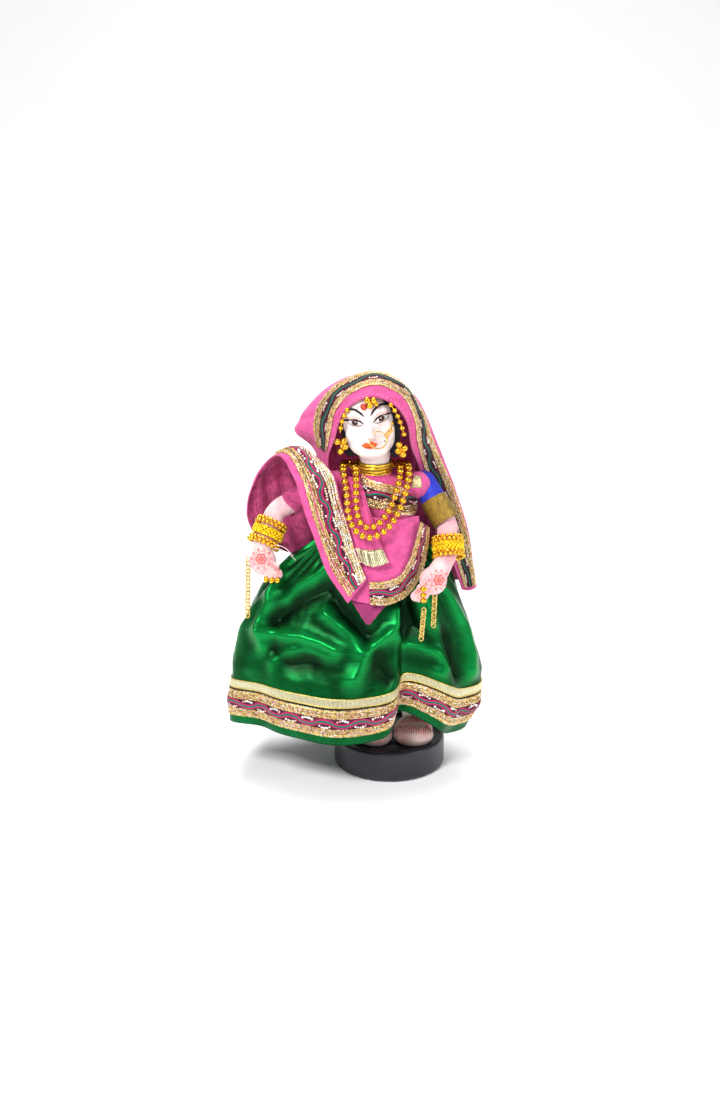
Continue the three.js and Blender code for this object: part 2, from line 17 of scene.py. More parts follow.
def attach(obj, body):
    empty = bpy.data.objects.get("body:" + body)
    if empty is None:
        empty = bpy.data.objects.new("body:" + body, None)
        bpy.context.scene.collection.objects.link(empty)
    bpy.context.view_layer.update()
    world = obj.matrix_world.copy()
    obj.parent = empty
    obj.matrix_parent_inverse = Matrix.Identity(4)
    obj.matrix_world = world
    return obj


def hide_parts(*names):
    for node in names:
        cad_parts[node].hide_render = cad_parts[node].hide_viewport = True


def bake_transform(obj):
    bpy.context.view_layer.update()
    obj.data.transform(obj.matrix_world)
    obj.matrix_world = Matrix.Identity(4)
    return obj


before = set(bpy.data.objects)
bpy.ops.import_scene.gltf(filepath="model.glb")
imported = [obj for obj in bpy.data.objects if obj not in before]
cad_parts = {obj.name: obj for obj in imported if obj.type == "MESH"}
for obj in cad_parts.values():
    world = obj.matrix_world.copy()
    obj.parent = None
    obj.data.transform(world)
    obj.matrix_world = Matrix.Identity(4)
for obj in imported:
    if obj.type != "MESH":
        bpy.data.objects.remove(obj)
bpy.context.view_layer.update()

MM = 0.001
BASE_R = 31
BASE_H = 17
# The floor of the recess in the base, where the feet stand.
FLOOR_Z = 14.5
BODY_X = -8
NECK = (-8.5, -1)
NECK_R = 7.6
# Radii along the arm: the CAD's, under the bangles, then the skin's, the sleeves' and the cuff's.
ARM_R = 6.5
SKIN_R = 5.95
WRIST_R = 5.6
SLEEVE_R = 6.45
CUFF_R = 7.25
HEAD = Vector((-12.0, -2, 199.5))
SKIRT_X = -15
SKIRT_WAIST_Z = 138

# The joints and the hand of each arm, the beads on the hand, and the bangles' places as shares of the
# way from elbow to wrist.
ARMS = {
    "left": {
        "shoulder": Vector((18, 2, 163)),
        "elbow": Vector((30, -8.2, 144.2)),
        "wrist": Vector((31, -17.5, 129)),
        "palm": Vector((22.5, -29, 118)),
        "fingers": Vector((13, -35.5, 111.5)),
        "thumb": Vector((17.5, -33, 107.5)),
        "beads": [(17, -39.4, 117), (17, -40, 113.8), (17, -39.6, 110.6)],
        "bangles": (0.56, 0.8, 1.02),
    },
    "right": {
        "shoulder": Vector((-34, 2, 163)),
        "elbow": Vector((-61, -9, 150.5)),
        "wrist": Vector((-69, -18, 133.5)),
        "palm": Vector((-68.5, -20.5, 126)),
        "fingers": Vector((-60.5, -25.5, 120.5)),
        "thumb": Vector((-68.5, -23, 117.5)),
        "beads": [(-66.4, -30, 119), (-63.3, -31, 118.9), (-60.2, -31.4, 119.1)],
        "bangles": (0.36, 0.62, 0.88),
    },
}


# ---------------------------------------------------------------- materials
class Shader:
    """A Principled material with helpers for procedural colour, bump and roughness."""

    def __init__(self, name, roughness=0.5, metallic=0.0, sheen=0.0, coat=0.0, specular=0.5):
        self.material = bpy.data.materials.new(name)
        self.material.use_nodes = True
        self.tree = self.material.node_tree
        self.bsdf = self.tree.nodes["Principled BSDF"]
        self.bsdf.inputs["Roughness"].default_value = roughness
        self.bsdf.inputs["Metallic"].default_value = metallic
        self.bsdf.inputs["Sheen Weight"].default_value = sheen
        self.bsdf.inputs["Sheen Roughness"].default_value = 0.4
        self.bsdf.inputs["Coat Weight"].default_value = coat
        self.bsdf.inputs["Specular IOR Level"].default_value = specular
        self.height = None

    def node(self, kind, **settings):
        made = self.tree.nodes.new(kind)
        for key, value in settings.items():
            setattr(made, key, value)
        return made

    def link(self, a, b):
        self.tree.links.new(a, b)

    def place(self, on_cloth=False, stretch=(1, 1, 1)):
        """Coordinates in millimetres: along the cloth, or in space."""
        source = self.node("ShaderNodeTexCoord")
        scale = self.node("ShaderNodeVectorMath", operation="MULTIPLY")
        unit = 1 if on_cloth else 1 / MM
        scale.inputs[1].default_value = [unit * s for s in stretch]
        self.link(source.outputs["UV" if on_cloth else "Object"], scale.inputs[0])
        return scale.outputs[0]

    def noise(self, place, size, detail=3.0, rough=0.55):
        made = self.node("ShaderNodeTexNoise")
        made.inputs["Scale"].default_value = 1 / size
        made.inputs["Detail"].default_value = detail
        made.inputs["Roughness"].default_value = rough
        self.link(place, made.inputs["Vector"])
        return made.outputs["Fac"]

    def threads(self, place, pitch, direction="X", wobble=0.6):
        """Ridges pitch millimetres apart: Blender's wave repeats every pi / 10 at scale 1."""
        made = self.node("ShaderNodeTexWave", bands_direction=direction)
        made.inputs["Scale"].default_value = math.pi / (10 * pitch)
        made.inputs["Distortion"].default_value = wobble
        made.inputs["Detail"].default_value = 1.0
        self.link(place, made.inputs["Vector"])
        return made.outputs["Fac"]

    def math(self, operation, a, b):
        made = self.node("ShaderNodeMath", operation=operation)
        for socket, value in zip(made.inputs, (a, b)):
            if isinstance(value, (int, float)):
                socket.default_value = value
            else:
                self.link(value, socket)
        return made.outputs[0]

    def mix(self, a, b, share):
        """A share of a, with the rest from b."""
        return self.math("ADD", self.math("MULTIPLY", a, share), self.math("MULTIPLY", b, 1 - share))

    def colour(self, factor, stops):
        """The base colour runs through stops as the factor rises."""
        ramp = self.node("ShaderNodeValToRGB")
        elements = ramp.color_ramp.elements
        while len(elements) < len(stops):
            elements.new(0.5)
        for element, (at, rgb) in zip(elements, stops):
            element.position = at
            element.color = (*rgb, 1)
        self.link(factor, ramp.inputs["Fac"])
        self.link(ramp.outputs["Color"], self.bsdf.inputs["Base Color"])

    def rough(self, factor, low, high):
        spread = self.node("ShaderNodeMapRange")
        spread.inputs["To Min"].default_value = low
        spread.inputs["To Max"].default_value = high
        self.link(factor, spread.inputs["Value"])
        self.link(spread.outputs["Result"], self.bsdf.inputs["Roughness"])

    def bump(self, height, depth):
        """Relief depth millimetres high, on top of the bumps that came before."""
        made = self.node("ShaderNodeBump")
        made.inputs["Strength"].default_value = 1.0
        made.inputs["Distance"].default_value = depth * MM
        self.link(height, made.inputs["Height"])
        if self.height:
            self.link(self.height, made.inputs["Normal"])
        self.height = made.outputs["Normal"]
        self.link(self.height, self.bsdf.inputs["Normal"])


def shade(rgb, by):
    """A colour made darker or lighter."""
    return tuple(min(1.0, c * by) for c in rgb)


def woven(name, rgb, pitch=0.5, roughness=0.85, sheen=0.25, on_cloth=True, depth=0.12, slub=0.12):
    """Plain-woven cotton: crossing threads, uneven dye and a soft nap."""
    s = Shader(name, roughness, sheen=sheen, specular=0.25)
    place = s.place(on_cloth)
    weave = s.math("MULTIPLY", s.threads(place, pitch, "X"), s.threads(place, pitch, "Y"))
    patches = s.noise(place, 6.0)
    flecks = s.noise(s.place(on_cloth, (1, 0.2, 1)), 0.5, 2.0)
    tone = s.mix(patches, flecks, 0.6)
    s.colour(tone, [(0.3, shade(rgb, 1 - 2 * slub)), (0.5, rgb), (0.72, shade(rgb, 1 + 2.2 * slub))])
    s.rough(flecks, roughness - 0.08, min(1.0, roughness + 0.08))
    s.bump(patches, 0.25)
    s.bump(weave, depth)
    return s.material


def satin(name, rgb, roughness=0.34, metallic=0.3, painted_crease_shade=False):
    """Taffeta or satin: a bright gloss in its own colour, with fine cross threads. With the fold option on,
    painted shade darkens the folds and a painted highlight lightens their ridges.
    """
    s = Shader(name, roughness, metallic=metallic, specular=0.35)
    s.bsdf.inputs["Anisotropic"].default_value = 0.45
    place = s.place(True)
    ribs = s.threads(place, 0.3, "Y", 1.2)
    streak = s.noise(s.place(True, (0.12, 1.6, 1)), 1.0, 4.0)
    patches = s.noise(place, 14.0, 2.0)
    tone = s.mix(streak, patches, 0.55)
    stops = [(0.32, shade(rgb, 0.72)), (0.5, rgb), (0.7, shade(rgb, 1.3))]
    # Painted shade and highlight: a per-point fold attribute on the mesh darkens the colour in the hollows
    # of the folds and lightens it on their ridges.
    if painted_crease_shade:
        depth = s.node("ShaderNodeAttribute", attribute_name="painted_fold_shade")
        tone = s.math("MULTIPLY", tone, depth.outputs["Fac"])
        stops = [(0.08, shade(rgb, 0.12)), (0.26, shade(rgb, 0.4)), (0.48, rgb), (0.7, shade(rgb, 1.5))]
    s.colour(tone, stops)
    s.rough(streak, roughness - 0.06, roughness + 0.12)
    s.bump(patches, 0.3)
    s.bump(s.math("MULTIPLY", ribs, 0.5), 0.018)
    return s.material


def metal(name, rgb, roughness=0.25, grain=0.4, depth=0.03, metallic=1.0):
    """Gilt, wire or foil: a worn coat with small dents."""
    s = Shader(name, roughness, metallic=metallic, coat=0.15)
    place = s.place()
    wear = s.noise(place, grain * 3)
    s.colour(wear, [(0.3, shade(rgb, 0.62)), (0.5, rgb), (0.72, shade(rgb, 1.18))])
    s.rough(s.noise(place, grain), max(0.05, roughness - 0.1), roughness + 0.15)
    s.bump(s.noise(place, grain, 2.0), depth)
    return s.material


def crinkled_gold(name, rgb, pitch=0.7, along="X"):
    """Metallic ribbon, creased across its length, with painted shade in the creases and painted highlight
    on their crests.
    """
    s = Shader(name, 0.3, metallic=0.85, coat=0.1)
    place = s.place(True)
    pleats = s.threads(place, pitch, along, 1.5)
    flecks = s.noise(place, 0.8, 3.0)
    # Painted shade and highlight: the wave that makes the creases also darkens the colour in their troughs
    # and lightens it on their crests; the flecks vary at random.
    tone = s.mix(pleats, flecks, 0.45)
    s.colour(tone, [(0.28, shade(rgb, 0.35)), (0.5, rgb), (0.7, shade(rgb, 1.5))])
    s.rough(flecks, 0.2, 0.45)
    s.bump(pleats, 0.25)
    s.bump(flecks, 0.12)
    return s.material


def brocade(name, rgb, thread_rgb):
    """Metal thread woven over a darker ground, with loose vertical streaks."""
    s = Shader(name, 0.42, metallic=0.55)
    place = s.place(True)
    warp = s.noise(s.place(True, (1.6, 0.25, 1)), 0.8, 4.0)
    ribs = s.threads(place, 0.55, "Y", 0.8)
    tone = s.mix(warp, ribs, 0.75)
    s.colour(tone, [(0.36, thread_rgb), (0.5, rgb), (0.68, shade(rgb, 1.7))])
    s.rough(warp, 0.25, 0.6)
    s.bump(s.math("MULTIPLY", warp, ribs), 0.25)
    return s.material


def painted_wood():
    """Black paint on turned wood, chipped to white at the foot."""
    s = Shader("base_paint", 0.4, coat=0.08, specular=0.45)
    place = s.place()
    grain = s.noise(s.place(stretch=(0.15, 0.15, 2.0)), 1.0, 4.0)
    height = s.node("ShaderNodeSeparateXYZ")
    s.link(place, height.inputs[0])
    low = s.node("ShaderNodeMapRange")
    low.inputs["From Min"].default_value = 0.6
    low.inputs["From Max"].default_value = 2.4
    low.inputs["To Min"].default_value = 0.2
    low.inputs["To Max"].default_value = -0.25
    s.link(height.outputs["Z"], low.inputs["Value"])
    spots = s.noise(place, 2.6, 5.0, 0.7)
    chips = s.math("GREATER_THAN", s.math("ADD", spots, low.outputs["Result"]), 0.79)
    tone = s.math("ADD", s.math("MULTIPLY", grain, 0.5), s.math("MULTIPLY", chips, 0.6))
    stops = [(0.1, (0.008, 0.008, 0.014)), (0.45, (0.02, 0.021, 0.032)), (0.72, (0.8, 0.78, 0.74))]
    s.colour(tone, stops)
    s.rough(grain, 0.3, 0.5)
    s.bump(grain, 0.06)
    s.bump(s.math("SUBTRACT", 1.0, chips), 0.15)
    return s.material


def yarn_black():
    """Dull black wadding, combed downwards."""
    s = Shader("hair_yarn", 0.7, specular=0.15)
    strands = s.noise(s.place(stretch=(1.6, 1.6, 0.14)), 0.7, 4.0)
    s.colour(strands, [(0.3, (0.002, 0.002, 0.004)), (0.7, (0.016, 0.015, 0.022))])
    s.rough(strands, 0.45, 0.75)
    s.bump(strands, 0.35)
    return s.material


def skin_cloth(name, rgb, blush, roughness=0.7, depth=0.05, blot=9.0):
    """Fine cotton sized with pale paint, warmer in scattered patches."""
    s = Shader(name, roughness, sheen=0.2, specular=0.35)
    s.bsdf.inputs["Subsurface Weight"].default_value = 0.08
    s.bsdf.inputs["Subsurface Radius"].default_value = (0.002, 0.001, 0.001)
    place = s.place()
    patches = s.noise(place, blot, 3.0)
    fine = s.noise(place, 0.55, 2.0)
    tone = s.mix(patches, fine, 0.75)
    s.colour(tone, [(0.34, blush), (0.52, rgb), (0.75, shade(rgb, 1.06))])
    s.rough(fine, roughness - 0.1, roughness + 0.1)
    weave = s.math("MULTIPLY", s.threads(place, 0.45, "X"), s.threads(place, 0.45, "Z"))
    s.bump(s.math("ADD", weave, fine), depth)
    return s.material


def paint(name, rgb, roughness=0.45):
    """Brushed-on colour: thin and thick places, and a slight ridge from the bristles."""
    s = Shader(name, roughness, specular=0.4)
    streak = s.noise(s.place(), 0.5, 3.0)
    s.colour(streak, [(0.3, shade(rgb, 0.82)), (0.55, rgb), (0.8, shade(rgb, 1.2))])
    s.rough(streak, roughness - 0.1, roughness + 0.12)
    s.bump(streak, 0.03)
    return s.material


PINK = (0.72, 0.10, 0.31)
M = {
    "pink": woven("pink_cotton", PINK, depth=0.07, slub=0.17),
    "magenta": woven("magenta_cotton", (0.34, 0.04, 0.15), depth=0.07),
    # A darker copy of the pink cotton with stronger patches: painted shade for the inside of the cape and
    # the sleeve under it.
    "gauze": woven("pink_gauze", (0.52, 0.07, 0.20), 0.45, 0.9, 0.1, depth=0.1, slub=0.34),
    # The green satin has painted shade in the hollows of its folds and painted highlight on their ridges.
    "green": satin("green_satin", (0.001, 0.16, 0.03), 0.33, metallic=0.8, painted_crease_shade=True),
    "blue": satin("blue_satin", (0.025, 0.04, 0.50), 0.5, metallic=0.2),
    "cotton": woven("stuffing_cotton", (0.83, 0.78, 0.72), 0.7, 0.95, 0.1, on_cloth=False),
    "net": woven("lace_ground", (0.16, 0.08, 0.045), 0.8, 0.7, 0.1, depth=0.3, slub=0.25),
    "gota": crinkled_gold("gota_ribbon", (0.92, 0.80, 0.46)),
    "gota_edge": metal("gota_edge", (0.85, 0.66, 0.16), 0.35, 0.4, 0.1),
    "choker": crinkled_gold("choker_foil", (0.72, 0.43, 0.04), 1.7, "Y"),
    "cuff": brocade("cuff_brocade", (0.33, 0.20, 0.025), (0.06, 0.035, 0.006)),
    "patch": brocade("patch_brocade", (0.75, 0.62, 0.33), (0.35, 0.24, 0.10)),
    "bead": metal("gilt_bead", (0.86, 0.47, 0.03), 0.22),
    "bangle": metal("gilt_band", (0.98, 0.66, 0.015), 0.32, 0.5, 0.1, metallic=0.75),
    "chain": metal("gilt_link", (0.80, 0.56, 0.17), 0.25),
    "wire": metal("armature_wire", (0.42, 0.43, 0.45), 0.45),
    "red_bead": metal("red_bead", (0.55, 0.05, 0.02), 0.2, metallic=0.2),
    "foil": metal("sequin_foil", (0.86, 0.62, 0.24), 0.28, 0.3),
    # A darker copy of the foil: painted shadow among the braid's stitches and on its inner cords.
    "shadow_foil": metal("sequin_shadow", (0.50, 0.30, 0.12), 0.35, 0.3),
    "foil_pale": metal("sequin_pale", (0.95, 0.86, 0.66), 0.25, 0.3),
    "pearl": metal("sequin_white", (0.94, 0.87, 0.84), 0.3, 0.3, metallic=0.25),
    "maroon": satin("maroon_ribbon", (0.085, 0.014, 0.035), 0.5),
    "crimson": satin("crimson_ribbon", (0.50, 0.02, 0.13), 0.45),
    "teal": satin("teal_ribbon", (0.008, 0.17, 0.11), 0.45),
    "rose_foil": metal("sequin_rose", (0.88, 0.48, 0.42), 0.3, 0.3, metallic=0.7),
    "cord": woven("dark_cord", (0.03, 0.015, 0.012), 0.4, on_cloth=False),
    "thread": woven("sewing_thread", (0.80, 0.35, 0.55), 0.3, on_cloth=False),
    "skin": skin_cloth("arm_cloth", (0.86, 0.60, 0.60), (0.84, 0.40, 0.45)),
    "foot": skin_cloth("foot_cloth", (0.93, 0.66, 0.62), (0.88, 0.38, 0.37)),
    "face": skin_cloth("face_paint", (0.88, 0.77, 0.76), (0.87, 0.65, 0.65), 0.5, 0.02, 16.0),
    "henna": paint("henna", (0.72, 0.16, 0.14), 0.7),
    "henna_wash": paint("henna_wash", (0.82, 0.34, 0.33), 0.75),
    "black_paint": paint("black_paint", (0.006, 0.005, 0.008), 0.35),
    "brown_paint": paint("brown_paint", (0.10, 0.03, 0.018), 0.3),
    "white_paint": paint("white_paint", (0.90, 0.88, 0.88), 0.35),
    "lid_wash": paint("lid_wash", (0.80, 0.56, 0.50), 0.55),
    "lash_paint": paint("lash_paint", (0.10, 0.035, 0.03), 0.45),
    "lid_paint": paint("lid_paint", (0.72, 0.45, 0.33), 0.5),
    "lip_paint": paint("lip_paint", (0.85, 0.11, 0.015), 0.3),
    "lip_line": paint("lip_line", (0.70, 0.24, 0.03), 0.4),
    "blush_paint": paint("blush_paint", (0.87, 0.66, 0.66), 0.55),
    "base": painted_wood(),
    "hair": yarn_black(),
}


# ---------------------------------------------------------------- meshes
def new_object(name, data):
    made = bpy.data.objects.new(name, data)
    bpy.context.collection.objects.link(made)
    return made


def enrol(made, body, replaces):
    """Says which CAD body a piece rides on and the nodes it stands for."""
    if body:
        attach(made, body)
    if replaces:
        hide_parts(*replaces)
    return made


def piece(name, vertices, faces, slots, uv=None, smooth=True, body="doll", slot=None, replaces=()):
    """A mesh in millimetres becomes an object. slots is one material, or one per face."""
    mesh = bpy.data.meshes.new(name)
    mesh.from_pydata([tuple(float(c) * MM for c in v) for v in vertices], [], faces)
    kinds = [slots] if isinstance(slots, str) else list(dict.fromkeys(slots))
    for kind in kinds:
        mesh.materials.append(M[kind])
    if not isinstance(slots, str):
        mesh.polygons.foreach_set("material_index", [kinds.index(kind) for kind in slots])
    if uv is not None:
        layer = mesh.uv_layers.new(name="cloth")
        for corner in mesh.loops:
            layer.data[corner.index].uv = uv[corner.vertex_index]
    if smooth:
        mesh.polygons.foreach_set("use_smooth", [True] * len(mesh.polygons))
    mesh.update()
    return enrol(new_object(name, mesh), body, replaces)


def turns_of(count, phase=0.0):
    """Angles of count even steps round a circle."""
    return [2 * math.pi * (k + phase) / count for k in range(count)]


def tube_faces(rows, sides, closed=False):
    """Faces between rows of points round a tube; an open tube gets a cap at each end."""
    faces = []
    for row in range(rows if closed else rows - 1):
        low, high = row * sides, (row + 1) % rows * sides
        for k in range(sides):
            n = (k + 1) % sides
            faces.append((low + k, low + n, high + n, high + k))
    if not closed:
        faces.append(tuple(reversed(range(sides))))
        faces.append(tuple(range((rows - 1) * sides, rows * sides)))
    return faces


def ball_faces(across, down):
    """Faces of a ball: a top point, rings of points down it, and a bottom point."""
    last, end = 1 + (down - 1) * across, 1 + (down - 2) * across
    faces = []
    for k in range(across):
        n = (k + 1) % across
        faces += [(0, 1 + k, 1 + n), (last, end + n, end + k)]
        for row in range(1, end, across):
            faces.append((row + k, row + across + k, row + across + n, row + n))
    return faces


def relaxed(grid, passes):
    """A grid evened out, round in its first direction and kept at its two edges."""
    for _ in range(passes):
        grid = (np.roll(grid, 1, 0) + np.roll(grid, -1, 0) + 2 * grid) / 4
        grid[:, 1:-1] = (grid[:, 2:] + grid[:, :-2] + 2 * grid[:, 1:-1]) / 4
    return grid


def arrays(points):
    return [np.array(p, float) for p in points]


def spline(points, t):
    """A centripetal Catmull-Rom curve through points, at t from 0 to 1."""
    last = len(points) - 1
    k = min(int(t * last), last - 1)
    s = t * last - k
    p1, p2 = points[k], points[k + 1]
    p0 = points[k - 1] if k else 2 * p1 - p2
    p3 = points[k + 2] if k + 2 <= last else 2 * p2 - p1
    d0, d1, d2 = (max(math.dist(a, b), 1e-6) ** 0.5 for a, b in ((p0, p1), (p1, p2), (p2, p3)))
    t1 = ((p1 - p0) / d0 - (p2 - p0) / (d0 + d1) + (p2 - p1) / d1) * d1
    t2 = ((p2 - p1) / d1 - (p3 - p1) / (d1 + d2) + (p3 - p2) / d2) * d1
    c2 = -3 * p1 + 3 * p2 - 2 * t1 - t2
    c3 = 2 * p1 - 2 * p2 + t1 + t2
    return p1 + s * (t1 + s * (c2 + s * c3))


def net_grid(net, us, vs):
    """Points of the smooth sheet through a net of rows, at each u along a row and v across."""
    rows = [arrays(row) for row in net]
    columns = [[spline(row, u) for row in rows] for u in us]
    return np.array([[spline(column, v) for v in vs] for column in columns])


class Cloth:
    """A fine grid of cloth with outward normals; looped cloth closes on itself in u."""

    def __init__(self, grid, looped=False, bumps=None):
        self.looped = looped
        self.grid = np.array(grid, float)
        self.normals = self.find_normals()
        if bumps is not None:
            self.grid = self.grid + self.normals * np.array(bumps)[..., None]
            self.normals = self.find_normals()

    def find_normals(self):
        g = self.grid
        if self.looped:
            du = np.roll(g, -1, axis=0) - np.roll(g, 1, axis=0)
        else:
            du = np.gradient(g, axis=0)
        out = np.cross(np.gradient(g, axis=1), du)
        return out / np.maximum(np.linalg.norm(out, axis=2, keepdims=True), 1e-9)

    def at(self, u, v, lift=0.0):
        """The point at (u, v), lifted outwards, and the normal there."""
        n, m = self.grid.shape[:2]
        x = (u % 1) * n if self.looped else min(max(u, 0), 1) * (n - 1)
        y = min(max(v, 0), 1) * (m - 1)
        i, j = min(int(x), n - 1), min(int(y), m - 2)
        k = (i + 1) % n if self.looped else min(i + 1, n - 1)
        fx, fy = x - i, y - j

        def mix(a):
            low = a[i, j] * (1 - fx) + a[k, j] * fx
            high = a[i, j + 1] * (1 - fx) + a[k, j + 1] * fx
            return low * (1 - fy) + high * fy

        normal = mix(self.normals)
        normal = normal / max(np.linalg.norm(normal), 1e-9)
        return mix(self.grid) + normal * lift, normal

    def lengths(self):
        """Lengths in millimetres along the middle of the cloth in u and in v."""
        row = self.grid[:, self.grid.shape[1] // 2]
        column = self.grid[self.grid.shape[0] // 2]
        along = np.linalg.norm(np.diff(row, axis=0), axis=1).sum()
        across = np.linalg.norm(np.diff(column, axis=0), axis=1).sum()
        return along, across

    def flat_size(self):
        """The longest lengths in u and in v: the sides of the cut the cloth came from."""
        along = np.linalg.norm(np.diff(self.grid, axis=0), axis=2).sum(axis=0).max()
        across = np.linalg.norm(np.diff(self.grid, axis=1), axis=2).sum(axis=1).max()
        return along * MM, across * MM

    def area(self):
        du = np.diff(self.grid, axis=0)[:, :-1]
        dv = np.diff(self.grid, axis=1)[:-1]
        return np.linalg.norm(np.cross(du, dv), axis=2).sum()

    def make(self, name, kind, thick=0.5, hem=0.0, lift=0.0, back=None, **rest):
        """A closed shell; hem thickens the edges where the cloth is turned in."""
        n, m = self.grid.shape[:2]
        across = np.linspace(0, 1, m)[None, :, None] * np.ones((n, 1, 1))
        along = np.linspace(0, 1, n)[:, None, None] * np.ones((1, m, 1))
        edge = np.minimum(across, 1 - across)
        if not self.looped:
            edge = np.minimum(edge, np.minimum(along, 1 - along))
        size = max(self.lengths())
        thickness = thick + hem * np.clip(1.6 - edge * size / 1.5, 0, 1)
        front = self.grid + self.normals * (lift + thickness / 2)
        rear = self.grid + self.normals * (lift - thickness / 2)
        vertices = np.vstack([front.reshape(-1, 3), rear.reshape(-1, 3)])
        count = n * m
        faces = []
        turns = n if self.looped else n - 1
        for i in range(turns):
            k = (i + 1) % n
            for j in range(m - 1):
                a, b, c, d = i * m + j, k * m + j, k * m + j + 1, i * m + j + 1
                faces.append((a, d, c, b))
                faces.append((count + a, count + b, count + c, count + d))
            a, b = i * m, k * m
            faces.append((a, b, count + b, count + a))
            a, b = i * m + m - 1, k * m + m - 1
            faces.append((b, a, count + a, count + b))
        if not self.looped:
            for j in range(m - 1):
                a, b = j, j + 1
                faces.append((b, a, count + a, count + b))
                a, b = (n - 1) * m + j, (n - 1) * m + j + 1
                faces.append((a, b, count + b, count + a))
        width, height = self.lengths()
        flat = [(i / n * width, j / m * height) for i in range(n) for j in range(m)]
        slots = kind
        if back:
            slots = [back if min(face) >= count else kind for face in faces]
        return piece(name, vertices, faces, slots, uv=flat + flat, **rest)


class Heap:
    """Many small solids gathered into one piece."""

    def __init__(self):
        self.vertices, self.faces, self.slots = [], [], []

    def add(self, vertices, faces, kind):
        start = len(self.vertices)
        self.vertices.extend(vertices)
        self.faces.extend(tuple(start + k for k in face) for face in faces)
        self.slots.extend([kind] * len(faces))

    def disc(self, centre, normal, radius, thick, kind, tilt, rng):
        """A sequin: a thin eight-sided disc, tilted at random."""
        z = Vector(normal) + Vector([rng.uniform(-tilt, tilt) for _ in range(3)])
        turn = z.normalized().to_track_quat("Z", "Y").to_matrix()
        vertices = []
        for height, scale in ((-0.5, 0.85), (0.15, 1.0), (0.5, 0.6)):
            for a in turns_of(8):
                local = Vector((radius * scale * math.cos(a), radius * scale * math.sin(a), height * thick))
                vertices.append(Vector(centre) + turn @ local)
        self.add(vertices, tube_faces(3, 8), kind)

    def stitch(self, centre, normal, way, length, width, thick, kind):
        """A short plump thread: a six-sided pebble, long along way."""
        z = normal / max(np.linalg.norm(normal), 1e-9)
        x = way - z * np.dot(way, z)
        x = x / max(np.linalg.norm(x), 1e-9)
        y = np.cross(z, x)
        vertices = []
        for height, scale in ((-0.6, 0.7), (0.0, 1.0), (0.6, 0.6)):
            for a in turns_of(6):
                spot = centre + x * (length * scale * math.cos(a)) + y * (width * scale * math.sin(a))
                vertices.append(spot + z * (height * thick))
        self.add(vertices, tube_faces(3, 6), kind)

    def bead(self, centre, radius, kind, axis=(0, 0, 1), squash=0.92, across=12, down=8):
        """A moulded bead with a seam round its middle and flattened ends on its string."""
        turn = Vector(axis).normalized().to_track_quat("Z", "Y").to_matrix()
        pole = turn @ Vector((0, 0, radius * squash * 0.9))
        vertices = [Vector(centre) + pole]
        for j in range(1, down):
            slope = math.pi * j / down
            seam = 1.03 if j * 2 == down else 1.0
            r, z = radius * math.sin(slope) * seam, radius * squash * math.cos(slope)
            for a in turns_of(across):
                vertices.append(Vector(centre) + turn @ Vector((r * math.cos(a), r * math.sin(a), z)))
        vertices.append(Vector(centre) - pole)
        self.add(vertices, ball_faces(across, down), kind)

    def tube(self, points, radius, kind, sides=6, closed=False, flat=1.0, up=None):
        """A cord along points; flat squashes it against the direction up."""
        points = [Vector(p) for p in points]
        n = len(points)
        vertices = []
        side = None
        for i, p in enumerate(points):
            after = points[(i + 1) % n] if closed or i + 1 < n else p
            before = points[i - 1] if closed or i else p
            way = (after - before).normalized()
            if up is not None:
                side = Vector(up[i] if isinstance(up, list) else up).cross(way).normalized()
            elif side is None:
                side = way.orthogonal().normalized()
            else:
                side = (side - way * side.dot(way)).normalized()
            over = way.cross(side)
            r = radius[i] if isinstance(radius, (list, tuple)) else radius
            for a in turns_of(sides):
                vertices.append(p + side * r * math.cos(a) + over * r * flat * math.sin(a))
        self.add(vertices, tube_faces(n, sides, closed), kind)

    def make(self, name, **rest):
        return piece(name, self.vertices, self.faces, self.slots, **rest)


def beaded(heap, points, radius, kind, gap=0.15, thread="thread"):
    """Beads in a row along a smooth line, on their thread."""
    fine = [Vector(spline(points, k / 400)) for k in range(401)]
    step, walked = 2 * radius + gap, radius
    for a, b in zip(fine, fine[1:]):
        length = (b - a).length
        while walked < length:
            heap.bead(a.lerp(b, walked / length), radius, kind, b - a)
            walked += step
        walked -= length
    heap.tube(fine[::8], radius * 0.22, thread)


